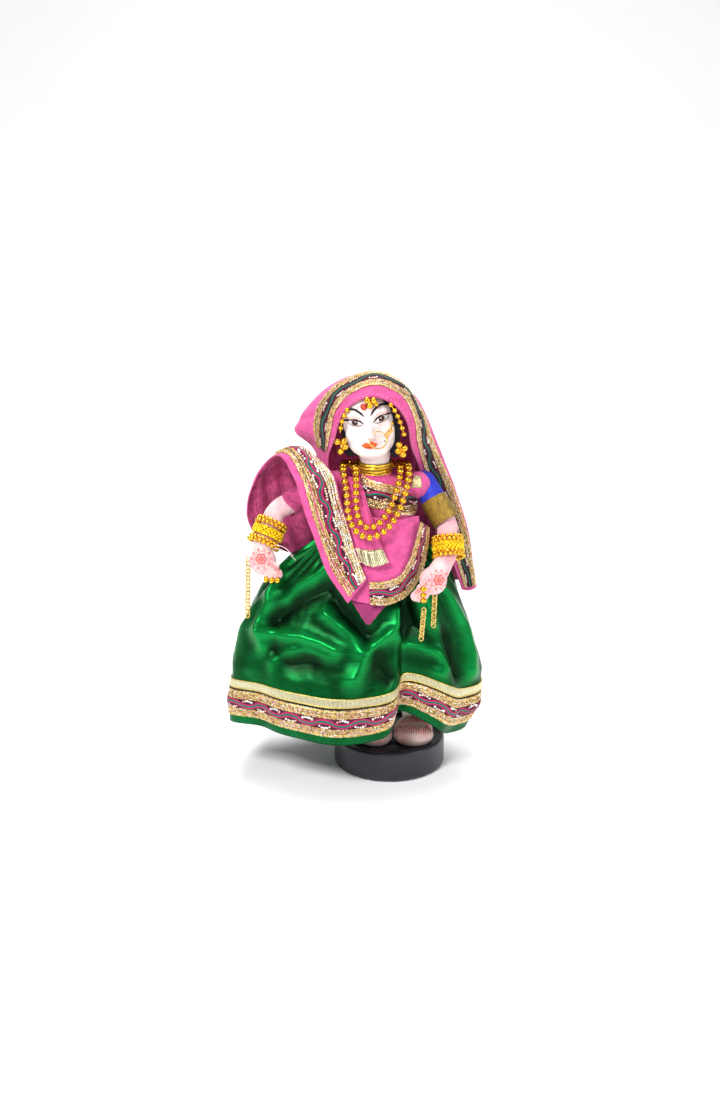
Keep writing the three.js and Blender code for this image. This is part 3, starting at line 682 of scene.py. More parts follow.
class Clay:
    """Overlapping balls and limbs, to be fused into one skin."""

    def __init__(self, across=26, down=16):
        points = [(0, 0, 1)]
        for slope in (math.pi * j / down for j in range(1, down)):
            r, z = math.sin(slope), math.cos(slope)
            points += [(r * math.cos(a), r * math.sin(a), z) for a in turns_of(across)]
        self.unit = np.array(points + [(0, 0, -1)])
        self.faces_of_unit = ball_faces(across, down)
        self.vertices, self.faces = [], []

    def blob(self, centre, radii, turn=None):
        points = self.unit * np.array(radii)
        if turn is not None:
            points = points @ np.array(turn).T
        start = len(self.vertices) * len(self.unit)
        self.vertices.append(points + np.array(centre))
        self.faces += [tuple(start + k for k in face) for face in self.faces_of_unit]

    def limb(self, a, b, ra, rb):
        """A row of balls from a to b, close enough to fuse into one limb."""
        a, b = Vector(a), Vector(b)
        count = max(2, int((b - a).length / 1.1))
        for k in range(count + 1):
            r = ra + (rb - ra) * k / count
            self.blob(a.lerp(b, k / count), (r, r, r))

    def fuse(self, name, voxel, smooth, kind, body="doll", slot=None, replaces=()):
        """One skin over all the clay, relaxed smooth times."""
        mesh = bpy.data.meshes.new(name)
        mesh.from_pydata((np.vstack(self.vertices) * MM).tolist(), [], self.faces)
        made = new_object(name, mesh)
        remesh = made.modifiers.new("fuse", "REMESH")
        remesh.mode = "VOXEL"
        remesh.voxel_size = voxel * MM
        relax = made.modifiers.new("relax", "SMOOTH")
        relax.factor = 0.6
        relax.iterations = smooth
        seen = made.evaluated_get(bpy.context.evaluated_depsgraph_get())
        fused = bpy.data.meshes.new_from_object(seen)
        made.modifiers.clear()
        made.data = fused
        fused.materials.clear()
        fused.materials.append(M[kind])
        fused.polygons.foreach_set("use_smooth", [True] * len(fused.polygons))
        enrol(made, body, replaces)
        return made


def tree_of(made):
    """The surface of a piece in millimetres, for laying paint on."""
    mesh = made.data
    points = [v.co / MM for v in mesh.vertices]
    return BVHTree.FromPolygons(points, [tuple(p.vertices) for p in mesh.polygons])


class Paper:
    """A flat drawing plane in front of a surface: (a, b) on it lands on the surface behind."""

    AWAY = 40

    def __init__(self, surface, origin, right, up):
        self.surface = surface
        self.origin = Vector(origin)
        self.right = Vector(right).normalized()
        self.up = (Vector(up) - self.right * Vector(up).dot(self.right)).normalized()
        self.way = self.up.cross(self.right)

    def land(self, a, b, lift=0.0):
        start = self.origin + self.right * a + self.up * b - self.way * self.AWAY
        hit, normal, _, _ = self.surface.ray_cast(start, self.way)
        if hit is None:
            hit, normal, _, _ = self.surface.find_nearest(start + self.way * self.AWAY)
        if normal.dot(self.way) > 0:
            normal = -normal
        return hit + normal * lift, normal

    def stroke(self, heap, points, width, kind, lift=0.1, closed=False, steps=8):
        """A brush line through points, thin at its ends."""
        points = [np.array((a, b, 0), float) for a, b in points]
        if closed:
            points.append(points[0])
        count = max(4, steps * (len(points) - 1))
        line, radii, ups = [], [], []
        for k in range(count if closed else count + 1):
            t = k / count
            a, b, _ = spline(points, t)
            spot, normal = self.land(a, b, lift * 0.5)
            line.append(spot)
            ups.append(normal)
            taper = 1 if closed else min(1.0, 0.35 + 4 * min(t, 1 - t))
            radii.append(width / 2 * taper)
        heap.tube(line, radii, kind, sides=6, closed=closed, flat=min(1.0, 0.35 / width), up=ups)

    def fill(self, heap, outline, kind, lift=0.12, rings=4, steps=6):
        """A filled shape: rings drawn from its outline in to its middle, closed underneath."""
        points = [np.array((a, b, 0), float) for a, b in outline]
        points.append(points[0])
        count = steps * (len(points) - 1)
        edge = [spline(points, k / count)[:2] for k in range(count)]
        middle = sum(edge) / count
        vertices, faces = [], []
        for ring in range(rings):
            share = 1 - ring / rings
            rise = lift if ring else -0.15
            if ring == 1:
                share = 0.97
            for p in edge:
                a, b = middle + (p - middle) * share
                vertices.append(self.land(a, b, rise)[0])
        vertices.append(self.land(*middle, lift)[0])
        top = len(vertices) - 1
        vertices.append(self.land(*middle, -0.4)[0])
        bottom = top + 1
        clockwise = sum(np.cross(edge[k - 1], edge[k]) for k in range(count)) < 0
        for k in range(count):
            n = (k + 1) % count
            rows = [ring * count for ring in range(rings)]
            strip = [(low + k, low + n, high + n, high + k) for low, high in zip(rows, rows[1:])]
            strip.append((rows[-1] + k, rows[-1] + n, top))
            strip.append((n, k, bottom))
            faces += [tuple(reversed(f)) if clockwise else f for f in strip]
        heap.add(vertices, faces, kind)


# ---------------------------------------------------------------- lace
class Ribbon:
    """A strip laid on cloth: a runs along it in millimetres, b across it from 0 to 1."""

    def __init__(self, cloth, edge_a, edge_b, samples=160):
        self.cloth, self.edge_a, self.edge_b = cloth, edge_a, edge_b
        middle = [cloth.at(*self.spot(k / samples, 0.5))[0] for k in range(samples + 1)]
        steps = [np.linalg.norm(b - a) for a, b in zip(middle, middle[1:])]
        self.marks = np.concatenate([[0], np.cumsum(steps)])
        self.length = self.marks[-1]
        self.shares = np.linspace(0, 1, samples + 1)

    def spot(self, share, b):
        u0, v0 = self.edge_a(share)
        u1, v1 = self.edge_b(share)
        return u0 + (u1 - u0) * b, v0 + (v1 - v0) * b

    def at(self, a, b, lift=0.0):
        share = float(np.interp(a, self.marks, self.shares))
        return self.cloth.at(*self.spot(share, b), lift)

    def line(self, b, count, closed, lift, swing=None):
        """Points and normals along the strip at b across it."""
        line, ups = [], []
        for k in range(count if closed else count + 1):
            a = self.length * k / count
            spot, normal = self.at(a, b + (swing(a) if swing else 0), lift)
            line.append(Vector(spot))
            ups.append(Vector(normal))
        return line, ups

    def width(self):
        ends = [self.at(self.length / 2, b)[0] for b in (0, 1)]
        return np.linalg.norm(ends[1] - ends[0])


def tape(name, ribbon, kind, band=(0, 1), lift=0.3, thick=0.35, pitch=1.2, down=4, pleat=0.0,
         closed=False, **rest):
    """A thin woven strip, pleated across if pleat is set."""
    count = max(8, int(ribbon.length / pitch))
    low, high = band
    grid = []
    for i in range(count + (0 if closed else 1)):
        a = ribbon.length * i / count
        fold = pleat * (i % 2)
        column = [ribbon.at(a, low + (high - low) * j / down, lift + fold)[0] for j in range(down + 1)]
        grid.append(column)
    return Cloth(grid, looped=closed).make(name, kind, thick, **rest)


LACE_UNITS = 17
# Where the parts of a lace run, from 0 to 1 across it.
NEAR_BRAID = (0.02, 0.085, 0.15, 0.215, 0.28)
FAR_BRAID = (0.72, 0.785, 0.85, 0.915, 0.98)
BRAID_CORDS = (0.052, 0.25, 0.75, 0.948)
RIBBON_BAND = (0.3, 0.7)
CORD_SHIFTS = (-0.062, 0.0, 0.062)
# Sizes in lace units.
CORD_RADII = (0.6, 0.72, 0.6)
SEQUIN_STEPS = (-3.2, -1.6, 0, 1.6, 3.2)
SEQUIN_R = (0.62, 0.95)
STITCH_PITCH = 1.12
STITCH_HALF = (0.88, 0.47)
STITCH_LEAN = 0.62
# The darker foil among these is painted shadow, scattered among the stitches.
BRAID_KINDS = ["foil"] * 4 + ["foil_pale"] * 2 + ["shadow_foil"] * 2 + ["rose_foil"]
BRIGHT_KINDS = ["foil_pale", "foil_pale", "pearl", "foil", "foil_pale"]


def braid(heap, ribbon, rows, rng, kinds, unit):
    """Rows of slanting metal-thread stitches, each row leaning the other way.

    A lace is LACE_UNITS units wide, and its threads, cords and sequins are sized in these units.
    """
    for row, b in enumerate(rows):
        count = int(ribbon.length / (STITCH_PITCH * unit))
        lean = STITCH_LEAN if row % 2 else -STITCH_LEAN
        for k in range(count):
            a = ribbon.length * (k + 0.5 + rng.uniform(-0.15, 0.15)) / count
            centre, normal = ribbon.at(a, b + rng.uniform(-0.008, 0.008), 0.62 + rng.uniform(0, 0.22))
            ahead = ribbon.at(a + 0.6, b, 0.62)[0] - centre
            across = np.cross(normal, ahead)
            way = ahead * math.cos(lean) + across * math.sin(lean)
            half_long, half_wide = (half * unit for half in STITCH_HALF)
            heap.stitch(centre, normal, way, half_long, half_wide, 0.3, rng.choice(kinds))


def lace(name, ribbon, seed, wave, closed=False, bright=False, cords=("crimson", "teal", "crimson"),
         replaces=(), slot="lace_border"):
    """Gold braid down both sides of a maroon ribbon, with wavy cords and sequins between."""
    rng = random.Random(seed)
    parts = [
        tape(name, ribbon, "net", lift=0.35, closed=closed, replaces=replaces, slot=slot),
        tape(name + "_ribbon", ribbon, "maroon", RIBBON_BAND, 0.5, 0.3, closed=closed, slot=slot),
    ]
    unit = ribbon.width() / LACE_UNITS
    heap = Heap()
    near_kinds = BRIGHT_KINDS if bright else BRAID_KINDS
    braid(heap, ribbon, NEAR_BRAID, rng, near_kinds, unit)
    braid(heap, ribbon, FAR_BRAID, rng, BRAID_KINDS, unit)
    turns = max(1, round(ribbon.length / wave))
    count = max(12, int(ribbon.length))
    for b in BRAID_CORDS:
        line, ups = ribbon.line(b, count, closed, 0.72)
        # The inner cords, beside the ribbon, take the darker foil: painted shadow between the parts.
        kind = "shadow_foil" if 0.1 < b < 0.9 else "foil"
        heap.tube(line, 0.26 * unit, kind, sides=5, closed=closed, up=ups)

    def swing(a):
        """The cords step down, run level, then step back up."""
        t = math.sin(2 * math.pi * turns * a / ribbon.length)
        return 0.08 * math.copysign(abs(t) ** 0.7, t)

    for shift, kind, radius in zip(CORD_SHIFTS, cords, CORD_RADII):
        line, ups = ribbon.line(0.5 + shift, count, closed, 0.85, swing)
        heap.tube(line, radius * unit, kind, sides=6, closed=closed, flat=0.55, up=ups)
    for k in range(2 * turns):
        a = ribbon.length * (k + 0.5) / (2 * turns)
        side = -1 if k % 2 == 0 else 1
        for step in (size * unit for size in SEQUIN_STEPS):
            if not 0 < a + step < ribbon.length:
                continue
            b = 0.5 + side * (0.145 - 0.006 * step * step) + rng.uniform(-0.01, 0.01)
            centre, normal = ribbon.at(a + step, b, 0.95)
            kind = rng.choice(["pearl", "pearl", "rose_foil", "foil_pale"])
            heap.disc(centre, normal, rng.uniform(*SEQUIN_R) * unit, 0.4, kind, 0.3, rng)
    return parts + [heap.make(name + "_braid", slot=slot)]


def stitches(heap, ribbon, b, kind="thread", pitch=2.6, lift=0.32):
    """A running stitch along a seam, each stitch a short arch."""
    arch = ((-0.7, -0.1), (0, 0.08), (0.7, -0.1))
    for k in range(int(ribbon.length / pitch)):
        a = pitch * (k + 0.5)
        line = [Vector(ribbon.at(a + step, b, lift + rise)[0]) for step, rise in arch]
        heap.tube(line, 0.16, kind, sides=5)


def straight(u0, v0, u1, v1):
    """A ribbon's edge: straight from one place on the cloth to another."""
    return lambda s: (u0 + (u1 - u0) * s, v0 + (v1 - v0) * s)


def level(cloth, low, high, samples=160):
    """A ribbon right along the cloth in u, between two shares of its v."""
    return Ribbon(cloth, straight(0, low, 1, low), straight(0, high, 1, high), samples)


def declare(cloth, flat=None):
    """Works out a sheet's flat size, the given cut or its own, and its area; neither is kept or used."""
    flat = flat or cloth.flat_size()
    area = cloth.area() * MM * MM


# ---------------------------------------------------------------- skirt
# The flat size in metres, then where the trims run, as shares of the way from waist to hem.
SKIRT_CUT = (0.44, 0.125)
GOTA_SHARES = (0.765, 0.808)
SEAM_SHARE = 0.812
LACE_SHARES = (0.82, 0.955)
HEM_SHARES = (0.985, 0.99)
CREASE_RISE = 1.35
# Half-sizes of the skirt in mm: share from waist to hem, then to the left, right, front and back.
SKIRT_ROWS = [
    (0, 13, 25, 15.5, 14), (0.08, 27, 35, 18, 20), (0.14, 36, 40, 20, 25), (0.32, 56, 52, 26, 34),
    (0.5, 66, 59.5, 33, 41), (0.7, 72, 65, 41, 46), (0.88, 75, 63, 46, 48), (1, 74, 56, 46, 47),
]
# Creases in the satin: points (turn in degrees, share), width and height in mm. Valleys are below 0.
CREASES = [
    ([(184, 0.08), (192, 0.19), (204, 0.27), (210, 0.36), (210, 0.47), (217, 0.57)], 4.2, 3.4),
    ([(240, 0.14), (232, 0.21), (225, 0.27), (223, 0.33)], 5.5, 2.0),
    ([(246, 0.26), (231, 0.34), (220, 0.43)], 6.5, -3.2),
    ([(212, 0.50), (227, 0.50), (240, 0.49), (250, 0.505), (258, 0.535)], 3.6, 2.6),
    ([(225, 0.64), (233, 0.575), (243, 0.545), (255, 0.57)], 4.0, 1.7),
    ([(222, 0.58), (236, 0.63), (246, 0.60)], 5.0, -1.6),
    ([(250, 0.37), (259, 0.42), (265, 0.47), (269, 0.54)], 3.8, 2.6),
    ([(254, 0.30), (262, 0.38), (272, 0.47)], 5.0, -2.6),
    ([(291, 0.38), (289, 0.45), (283, 0.485), (277, 0.52), (271, 0.57), (266, 0.67)], 4.0, 3.6),
    ([(277, 0.55), (279, 0.63), (284, 0.70)], 5.0, -2.8),
    ([(289, 0.51), (297, 0.60), (305, 0.61), (313, 0.61), (316, 0.67), (313, 0.72)], 2.8, 1.9),
    ([(299, 0.38), (302, 0.50)], 6.0, -3.0),
    ([(322, 0.50), (326, 0.68)], 7.0, -2.8),
    ([(330, 0.22), (337, 0.34), (343, 0.46), (343, 0.60), (340, 0.68)], 5.0, 2.8),
    ([(310, 0.30), (313, 0.46)], 5.0, 2.0),
    ([(198, 0.40), (190, 0.66)], 7.0, 2.0),
    ([(20, 0.2), (30, 0.7)], 7.0, 3.0),
    ([(60, 0.2), (52, 0.72)], 7.0, 3.0),
    ([(88, 0.25), (96, 0.75)], 8.0, 3.0),
    ([(120, 0.2), (128, 0.72)], 7.0, 3.0),
    ([(150, 0.2), (146, 0.7)], 7.0, 3.0),
]


def near_turn(a, at, width):
    """1 where a is at, falling away to either side; angles and width in degrees."""
    off = (a - at + 180) % 360 - 180
    return math.exp(-((off / width) ** 2))


def skirt_row(share):
    """The skirt's half-sizes at a share of the way down, swelling fast below the waist."""
    k = max(1, next(i for i, row in enumerate(SKIRT_ROWS) if row[0] >= share))
    before, after = SKIRT_ROWS[k - 1], SKIRT_ROWS[k]
    mix = (share - before[0]) / (after[0] - before[0])
    mix = mix if k > 1 else mix ** 0.8
    return [x + (y - x) * mix for x, y in zip(before[1:], after[1:])]


def skirt_point(turn, share):
    """A point on the skirt before its creases; one deep valley runs down beside the feet, and the
    hem rises most there."""
    a = 360 * turn
    left, right, front, back = skirt_row(share)
    swell = share ** 0.8
    wave = 0.035 * math.cos(math.radians(7 * a + 40)) + 0.02 * math.cos(math.radians(12 * a + 110))
    fold = 1 + swell * wave - 0.36 * swell * near_turn(a, 297, 8 if a < 297 else 12)
    hem = 29 + 4 * near_turn(a, 220, 26) + 13 * near_turn(a, 302, 16) - 5 * near_turn(a, 345, 25)
    hem += 2 * math.cos(math.radians(3 * a - 90)) * (1 if a < 180 else 0.3)
    c, s = math.cos(math.radians(a)), math.sin(math.radians(a))
    x = SKIRT_X + fold * c * (right if c > 0 else left)
    y = fold * s * (back if s > 0 else front)
    return x, y, SKIRT_WAIST_Z + (hem - SKIRT_WAIST_Z) * share


def crease_heights(turns, shares):
    """How far the creases lift the satin, at each turn and each share of the way to the hem."""
    radius, drop = 55, 112
    arc = math.radians(1) * radius
    total = np.zeros((len(turns), len(shares)))
    for points, width, height in CREASES:
        reach = np.full(total.shape, 1e9)
        for (a0, s0), (a1, s1) in zip(points, points[1:]):
            px = ((360 * turns[:, None] - a0 + 180) % 360 - 180) * arc
            py = (shares[None, :] - s0) * drop
            qx, qy = (a1 - a0) * arc, (s1 - s0) * drop
            along = np.clip((px * qx + py * qy) / (qx * qx + qy * qy), 0, 1)
            reach = np.minimum(reach, np.hypot(px - along * qx, py - along * qy))
        total += CREASE_RISE * height * np.exp(-((reach / width) ** 1.4))
    return total


def skirt_bumps(turns, shares):
    """Creases, soft unevenness and, at the waist, small gathers; calm where the trims are sewn on."""
    pulled = crease_heights(turns, shares)
    bumps = np.zeros(pulled.shape)
    for i, turn in enumerate(turns):
        a = 2 * math.pi * turn
        for j, share in enumerate(shares):
            spot = Vector((math.cos(a) * 2.2, math.sin(a) * 2.2, share * 2.6))
            soft = noise(spot * 1.1) * 1.5 + noise(spot * 2.7) * 0.7 + noise(spot * 6.5) * 0.22
            calm = 1 if share < 0.72 else max(0.25, 1 - (share - 0.72) * 6)
            pleats = 0.9 * math.sin(34 * a) * math.exp(-((share / 0.16) ** 2))
            bumps[i, j] = (soft + pulled[i, j]) * calm * min(1, share * 5) + pleats - 0.5
    return bumps


def make_skirt():
    turns, rows = 340, 110
    grid = [[skirt_point(i / turns, j / (rows - 1)) for j in range(rows)] for i in range(turns)]
    bumps = skirt_bumps(np.arange(turns) / turns, np.linspace(0, 1, rows))
    cloth = Cloth(grid, looped=True, bumps=bumps)
    skirt = cloth.make("skirt_satin", "green", 0.45, hem=0.3, slot="green_satin", replaces=["skirt"])
    # Painted shade and highlight: the satin's colour is darkened in the hollows of its folds and lightened
    # on their ridges, through a per-point attribute.
    smooth = relaxed(bumps, 60)
    depth = np.clip(0.74 + 0.42 * (bumps - smooth) + 0.10 * smooth, 0.12, 1.35).reshape(-1)
    painted_shade_attribute = skirt.data.attributes.new("painted_fold_shade", "FLOAT", "POINT")
    painted_shade_attribute.data.foreach_set("value", np.concatenate([depth, depth]))
    trims = skirt_trims(cloth)
    declare(cloth, SKIRT_CUT)


def skirt_trims(cloth):
    """Pleated gota, a dark seam cord, the lace border and the hem's stitches."""
    gota = level(cloth, *GOTA_SHARES, 240)
    trims = [tape("skirt_gota_ribbon", gota, "gota", lift=0.5, thick=0.6, pitch=0.8, down=5,
                  pleat=0.14, closed=True, slot="gota_ribbon", replaces=["skirt_gota"])]
    seam = Heap()
    for b in (0.03, 0.97):
        edge, ups = gota.line(b, 300, True, 0.85)
        seam.tube(edge, 0.27, "gota_edge", closed=True, up=ups)
    line = [cloth.at(k / 300, SEAM_SHARE, 0.6)[0] for k in range(300)]
    seam.tube(line, 0.42, "cord", closed=True)
    trims.append(seam.make("skirt_seam_cord", slot="lace_border"))
    band = level(cloth, *LACE_SHARES, 240)
    trims += lace("skirt_border", band, 3, wave=19.0, closed=True, replaces=["skirt_lace"])
    hem = Heap()
    stitches(hem, level(cloth, *HEM_SHARES, 240), 0.5, "teal")
    return trims + [hem.make("skirt_hem_stitches", slot="green_satin")]


# ---------------------------------------------------------------- veil and drapes
# Each net holds rows of points that its cloth passes through. The veil's rows run over the head from
# the doll's left to its right, from the front edge to the hem behind; the cape's run across it, from
# its end on the chest to its end behind the arm; the others run across, from the top down.
VEIL = [
    [(40, 9, 99), (30, 11, 128), (21, 12, 152), (15, 8, 171), (10.5, -5, 187), (8.4, -9, 199),
     (1.6, -12.8, 209.6), (-10.5, -15.4, 215.2), (-22, -12.6, 209), (-27.4, -9.4, 200), (-29.6, -8, 191),
     (-33, -4, 181), (-34, 2, 165)],
    [(43, 10, 98), (34, 13, 130), (25, 14, 155), (19, 9, 173), (15.5, -2, 189), (13, -6, 203), (6, -8, 216),
     (-8, -8, 222), (-23, -7, 216), (-31, -7, 206), (-33.5, -6, 194), (-35, -2, 182), (-35.5, 4, 166)],
    [(48, 12, 99), (43, 14, 128), (35, 14, 154), (27, 10, 174), (21.5, 4, 188), (16, 2, 203), (7, 2, 216.5),
     (-8, 3, 224), (-27, 1, 218.5), (-38, -1, 207), (-41, -2, 196), (-39, 1, 183.5), (-36.5, 7, 167)],
    [(47, 19, 100), (43, 21, 128), (34, 20, 156), (26, 17, 178), (20, 15, 194), (13, 15, 208), (4, 15, 216),
     (-10, 15, 220.5), (-30, 12, 216), (-45, 10, 203), (-52, 10, 190.5), (-42, 9, 181), (-36.5, 12, 166)],
    [(38, 25, 99), (35, 28, 122), (27, 27, 148), (18, 26, 172), (12, 26, 188), (6, 27, 200), (0, 28, 206),
     (-12, 29, 209), (-26, 28, 205), (-36, 26, 196), (-42, 25, 188), (-40, 25, 177), (-37, 26, 162)],
    [(34, 28, 97), (31, 30, 110), (25, 31, 126), (18, 31, 140), (11, 32, 150), (4, 33, 157), (-3, 34, 161),
     (-12, 34, 163), (-22, 34, 161), (-30, 33, 156), (-36, 32, 150), (-40, 31, 145), (-42, 30, 140)],
    [(30, 30, 97), (25, 33, 98), (20, 34, 99), (14, 35, 101), (8, 36, 103), (2, 37, 105), (-4, 37, 107),
     (-12, 37, 109), (-20, 37, 112), (-27, 37, 114), (-33, 36, 117), (-38, 35, 120), (-42, 33, 123)],
]
CAPE = [
    [(-13, -30, 118.5), (-18, -31.3, 112.5), (-23, -32, 106)],
    [(-18, -26.8, 131), (-25.5, -27.8, 127), (-34, -28, 122)],
    [(-22, -23.6, 144), (-31, -25.3, 141), (-40, -25, 138)],
    [(-27, -19.4, 160), (-36, -21, 156.5), (-46, -19.5, 153)],
    [(-31, -15, 173), (-40.5, -16, 171.5), (-51, -13.5, 169.5)],
    [(-41, -8, 181), (-49, -6, 183), (-59, -4.5, 179.5)],
    [(-46, 4, 180), (-56, 4, 181.5), (-68, 5, 173)],
    [(-45.5, 14, 171), (-62, 14, 171), (-76, 11, 158)],
    [(-39, 17, 150), (-60, 20, 147), (-79, 14, 141)],
    [(-29, 21.5, 129.5), (-51, 25, 115), (-74, 15, 125)],
]
FRONT = [
    [(-28, -13, 153), (-18, -19.4, 152), (-8, -19.6, 150), (5, -19.6, 149.5), (15, -13, 149)],
    [(-30, -17, 141), (-20, -20.6, 140), (-8, -20.6, 139.5), (5, -21, 139.5), (16, -14.6, 139)],
    [(-28, -20, 130), (-19, -22.6, 129), (-8, -24, 128.6), (5, -23.4, 128.6), (15.5, -17.6, 129.4)],
    [(-27, -24, 118), (-18, -26.2, 118), (-8, -27.6, 118), (4, -26.6, 118.4), (14.5, -20.4, 121)],
    [(-24, -27.8, 107.6), (-17, -29.4, 106), (-7, -30.6, 105), (3, -29.6, 106), (11, -24.6, 111)],
]
VEIL_LACE_END = 22 / 24
VEIL_LACE_SHARES = (1 / 9, 3 / 9)
CAPE_LACE_SHARES = (0.03, 0.82)
CAPE_LACE_SPAN = (0.01, 0.7)
FRONT_LACE = [
    [(-11.6, -30, 117.4), (-11.2, -32.6, 105.8)],
    [(-3, -29.8, 118), (-2, -32.4, 105.4)],
    [(4, -28.4, 120.4), (7.6, -28.4, 108.6)],
    [(9, -24.6, 127), (15.6, -20.6, 117.6)],
    [(12.6, -20.6, 136.6), (19.2, -16, 129.6)],
    [(15.4, -17, 147), (20.4, -11.4, 142)],
]
PLEATS = [
    [(-25, -9.4, 170), (-21, -10.4, 170), (-17, -10.4, 170)],
    [(-23.5, -15.2, 160), (-18.5, -16.4, 160), (-13.5, -16.4, 160)],
    [(-22, -21.2, 150), (-16, -22.4, 150), (-10, -22, 150)],
    [(-20, -23, 140), (-13.5, -24, 139.6), (-6.6, -24.2, 140)],
    [(-17, -26.4, 127.6), (-9.4, -28.8, 125.4), (-0.8, -28.6, 127.8)],
]
TAIL = [
    [(-23, -26, 109), (-10, -27.4, 108.4), (4, -26, 109.4)],
    [(-18, -30, 101.6), (-11.6, -31, 101), (-4, -29.8, 102.4)],
    [(-13, -34.3, 95.4), (-12, -34.6, 95), (-11, -34.3, 95.4)],
]


def cloth_from(net, across, down, bump):
    """The sheet through a net, raised by bump(u, v)."""
    us, vs = np.linspace(0, 1, across + 1), np.linspace(0, 1, down + 1)
    bumps = [[bump(u, v) for v in vs] for u in us]
    return Cloth(net_grid(net, us, vs), bumps=bumps)


def ripple(seed, soft, fine, scale=6.0):
    """Uneven cloth: soft waves with finer ones over them, in mm."""
    def bump(u, v):
        spot = Vector((u * scale + seed * 7.3, v * scale * 0.6, seed * 3.1))
        return noise(spot) * soft + noise(spot * 3.1) * fine
    return bump


def make_sheet(name, cloth, kind, node, back=None):
    made = cloth.make(name, kind, 0.5, hem=0.35, back=back, slot="pink_cloth", replaces=[node])
    declare(cloth)


def veil_bump(u, v):
    """Soft waves, hanging folds towards the hem, and a tuck beside the doll's right cheek."""
    base = ripple(2, 0.9, 0.35)(u, v)
    hang = 1.5 * math.sin(2 * math.pi * (u * 9 + 0.2)) * max(0, v - 0.5) * 1.6
    tuck = 1.3 * math.exp(-(((u - 0.80) / 0.02) ** 2)) * math.exp(-(((v - 0.45) / 0.16) ** 2))
    return base + hang - tuck


def make_veil():
    """The veil with its lace, set back from a stitched hem."""
    cloth = cloth_from(VEIL, 150, 70, veil_bump)
    edges = [straight(0.005, v, VEIL_LACE_END, v) for v in VEIL_LACE_SHARES]
    band = Ribbon(cloth, *edges, 240)
    cords = ("maroon", "teal", "cord")
    trims = lace("veil_border", band, 11, wave=21.0, cords=cords, replaces=["veil_lace"])
    hem = Heap()
    stitches(hem, level(cloth, 0.02, 0.03), 0.5)
    trims.append(hem.make("veil_hem_stitches", slot="pink_cloth"))
    make_sheet("veil_cotton", cloth, "pink", "veil")


def make_cape():
    """The veil's other end, over the right arm, with its back showing where it turns, in a darker pink that
    is painted shade inside the cape.
    """
    soft = ripple(5, 0.8, 0.3, 9.0)

    def folds(u, v):
        hang = max(0.0, min(1.0, (v - 0.58) * 6))
        wide, narrow = 1.3 * math.sin(2 * math.pi * (u * 4.5 + 0.3 * v)), 0.5 * math.sin(31 * u + 3)
        return soft(u, v) + hang * (wide + narrow)

    cloth = cloth_from(CAPE, 70, 150, folds)
    start, end = CAPE_LACE_SPAN
    edges = [straight(u, start, u, end) for u in CAPE_LACE_SHARES]
    band = Ribbon(cloth, *edges, 200)
    trims = lace("cape_border", band, 17, wave=17.0, bright=True, replaces=["cape_lace"])
    # The back of the cape is the darker pink: painted shade.
    make_sheet("cape_cotton", cloth, "pink", "cape", back="gauze")


def make_front():
    """The front drape with its lace, its pointed tail, and the pleats over it with a gold end."""
    cloth = cloth_from(FRONT, 60, 60, ripple(7, 0.5, 0.2))
    border = cloth_from([row[::-1] for row in FRONT_LACE], 16, 90, lambda u, v: 0)
    band = Ribbon(border, straight(0, 0, 0, 1), straight(1, 0, 1, 1), 160)
    trims = lace("front_border", band, 23, wave=17.0, replaces=["front_lace"])
    make_sheet("front_cotton", cloth, "pink", "front_drape")
    tail = cloth_from(TAIL, 36, 30, ripple(9, 0.4, 0.2))
    make_sheet("lower_drape_cotton", tail, "magenta", "lower_drape")

    def pleat(u, v):
        return 0.35 * math.sin(2 * math.pi * u * 4) + ripple(13, 0.3, 0.15)(u, v)

    pleats = cloth_from(PLEATS, 48, 60, pleat)
    ribbon = tape("pleat_end_ribbon", level(pleats, 0.85, 0.995), "gota", lift=0.7, thick=0.6, pitch=0.9,
                  pleat=0.2, slot="gota_ribbon", replaces=["pleat_gota"])
    make_sheet("pleat_cotton", pleats, "pink", "pleats")


# ---------------------------------------------------------------- bodice
# The torso's radius and height, from the hips up to the neck.
TORSO = [
    (12.5, 117.5), (14, 124), (13.2, 134), (14.5, 145), (15.2, 155), (13, 162), (9.5, 165.5), (7, 167.5),
]
BODICE_TOP = 170.3
BODICE_BOTTOM = 135
COLLAR_Z = 167
BUST_Z = 148.5
# Each breast: side, distance from the middle and radius.
BUST = ((-1, 9.2, 8.6), (1, 10.6, 9.6))
SHOULDERS = (("left", (14.6, -1.2, 162.6)), ("right", (-30.6, -0.6, 162.8)))
SHOULDER_R = 7.3


def bodice_radius(z):
    """The torso's radius with its padding, which is thicker below the collar."""
    radii, heights = zip(*TORSO)
    padding = 1.4 + 1.3 * math.exp(-(((z - 166) / 3.5) ** 2))
    return float(np.interp(z, heights, radii)) + padding


def bodice_point(a, z):
    """The bodice over the torso and the bust, fuller on the doll's left."""
    if z > COLLAR_Z:
        drop = BODICE_TOP - z
        r, squash = NECK_R + 0.7 + 0.17 * drop ** 2, 1 - 0.065 * drop
        return BODY_X - 0.5 + r * math.cos(a), squash * r * math.sin(a) - 0.5, z
    r = bodice_radius(z)
    x, y = r * math.cos(a), 0.76 * r * math.sin(a)
    if x > 0:
        x *= 1 + 0.34 * math.exp(-(((z - 152) / 11) ** 2))
    for side, reach, radius in BUST:
        dx, dz = x - side * reach, z - BUST_Z
        inside = radius ** 2 - dx * dx - dz * dz
        if inside > 0 and y < 0:
            y = min(y, -8.2 - math.sqrt(inside))
    return BODY_X + x, y, z


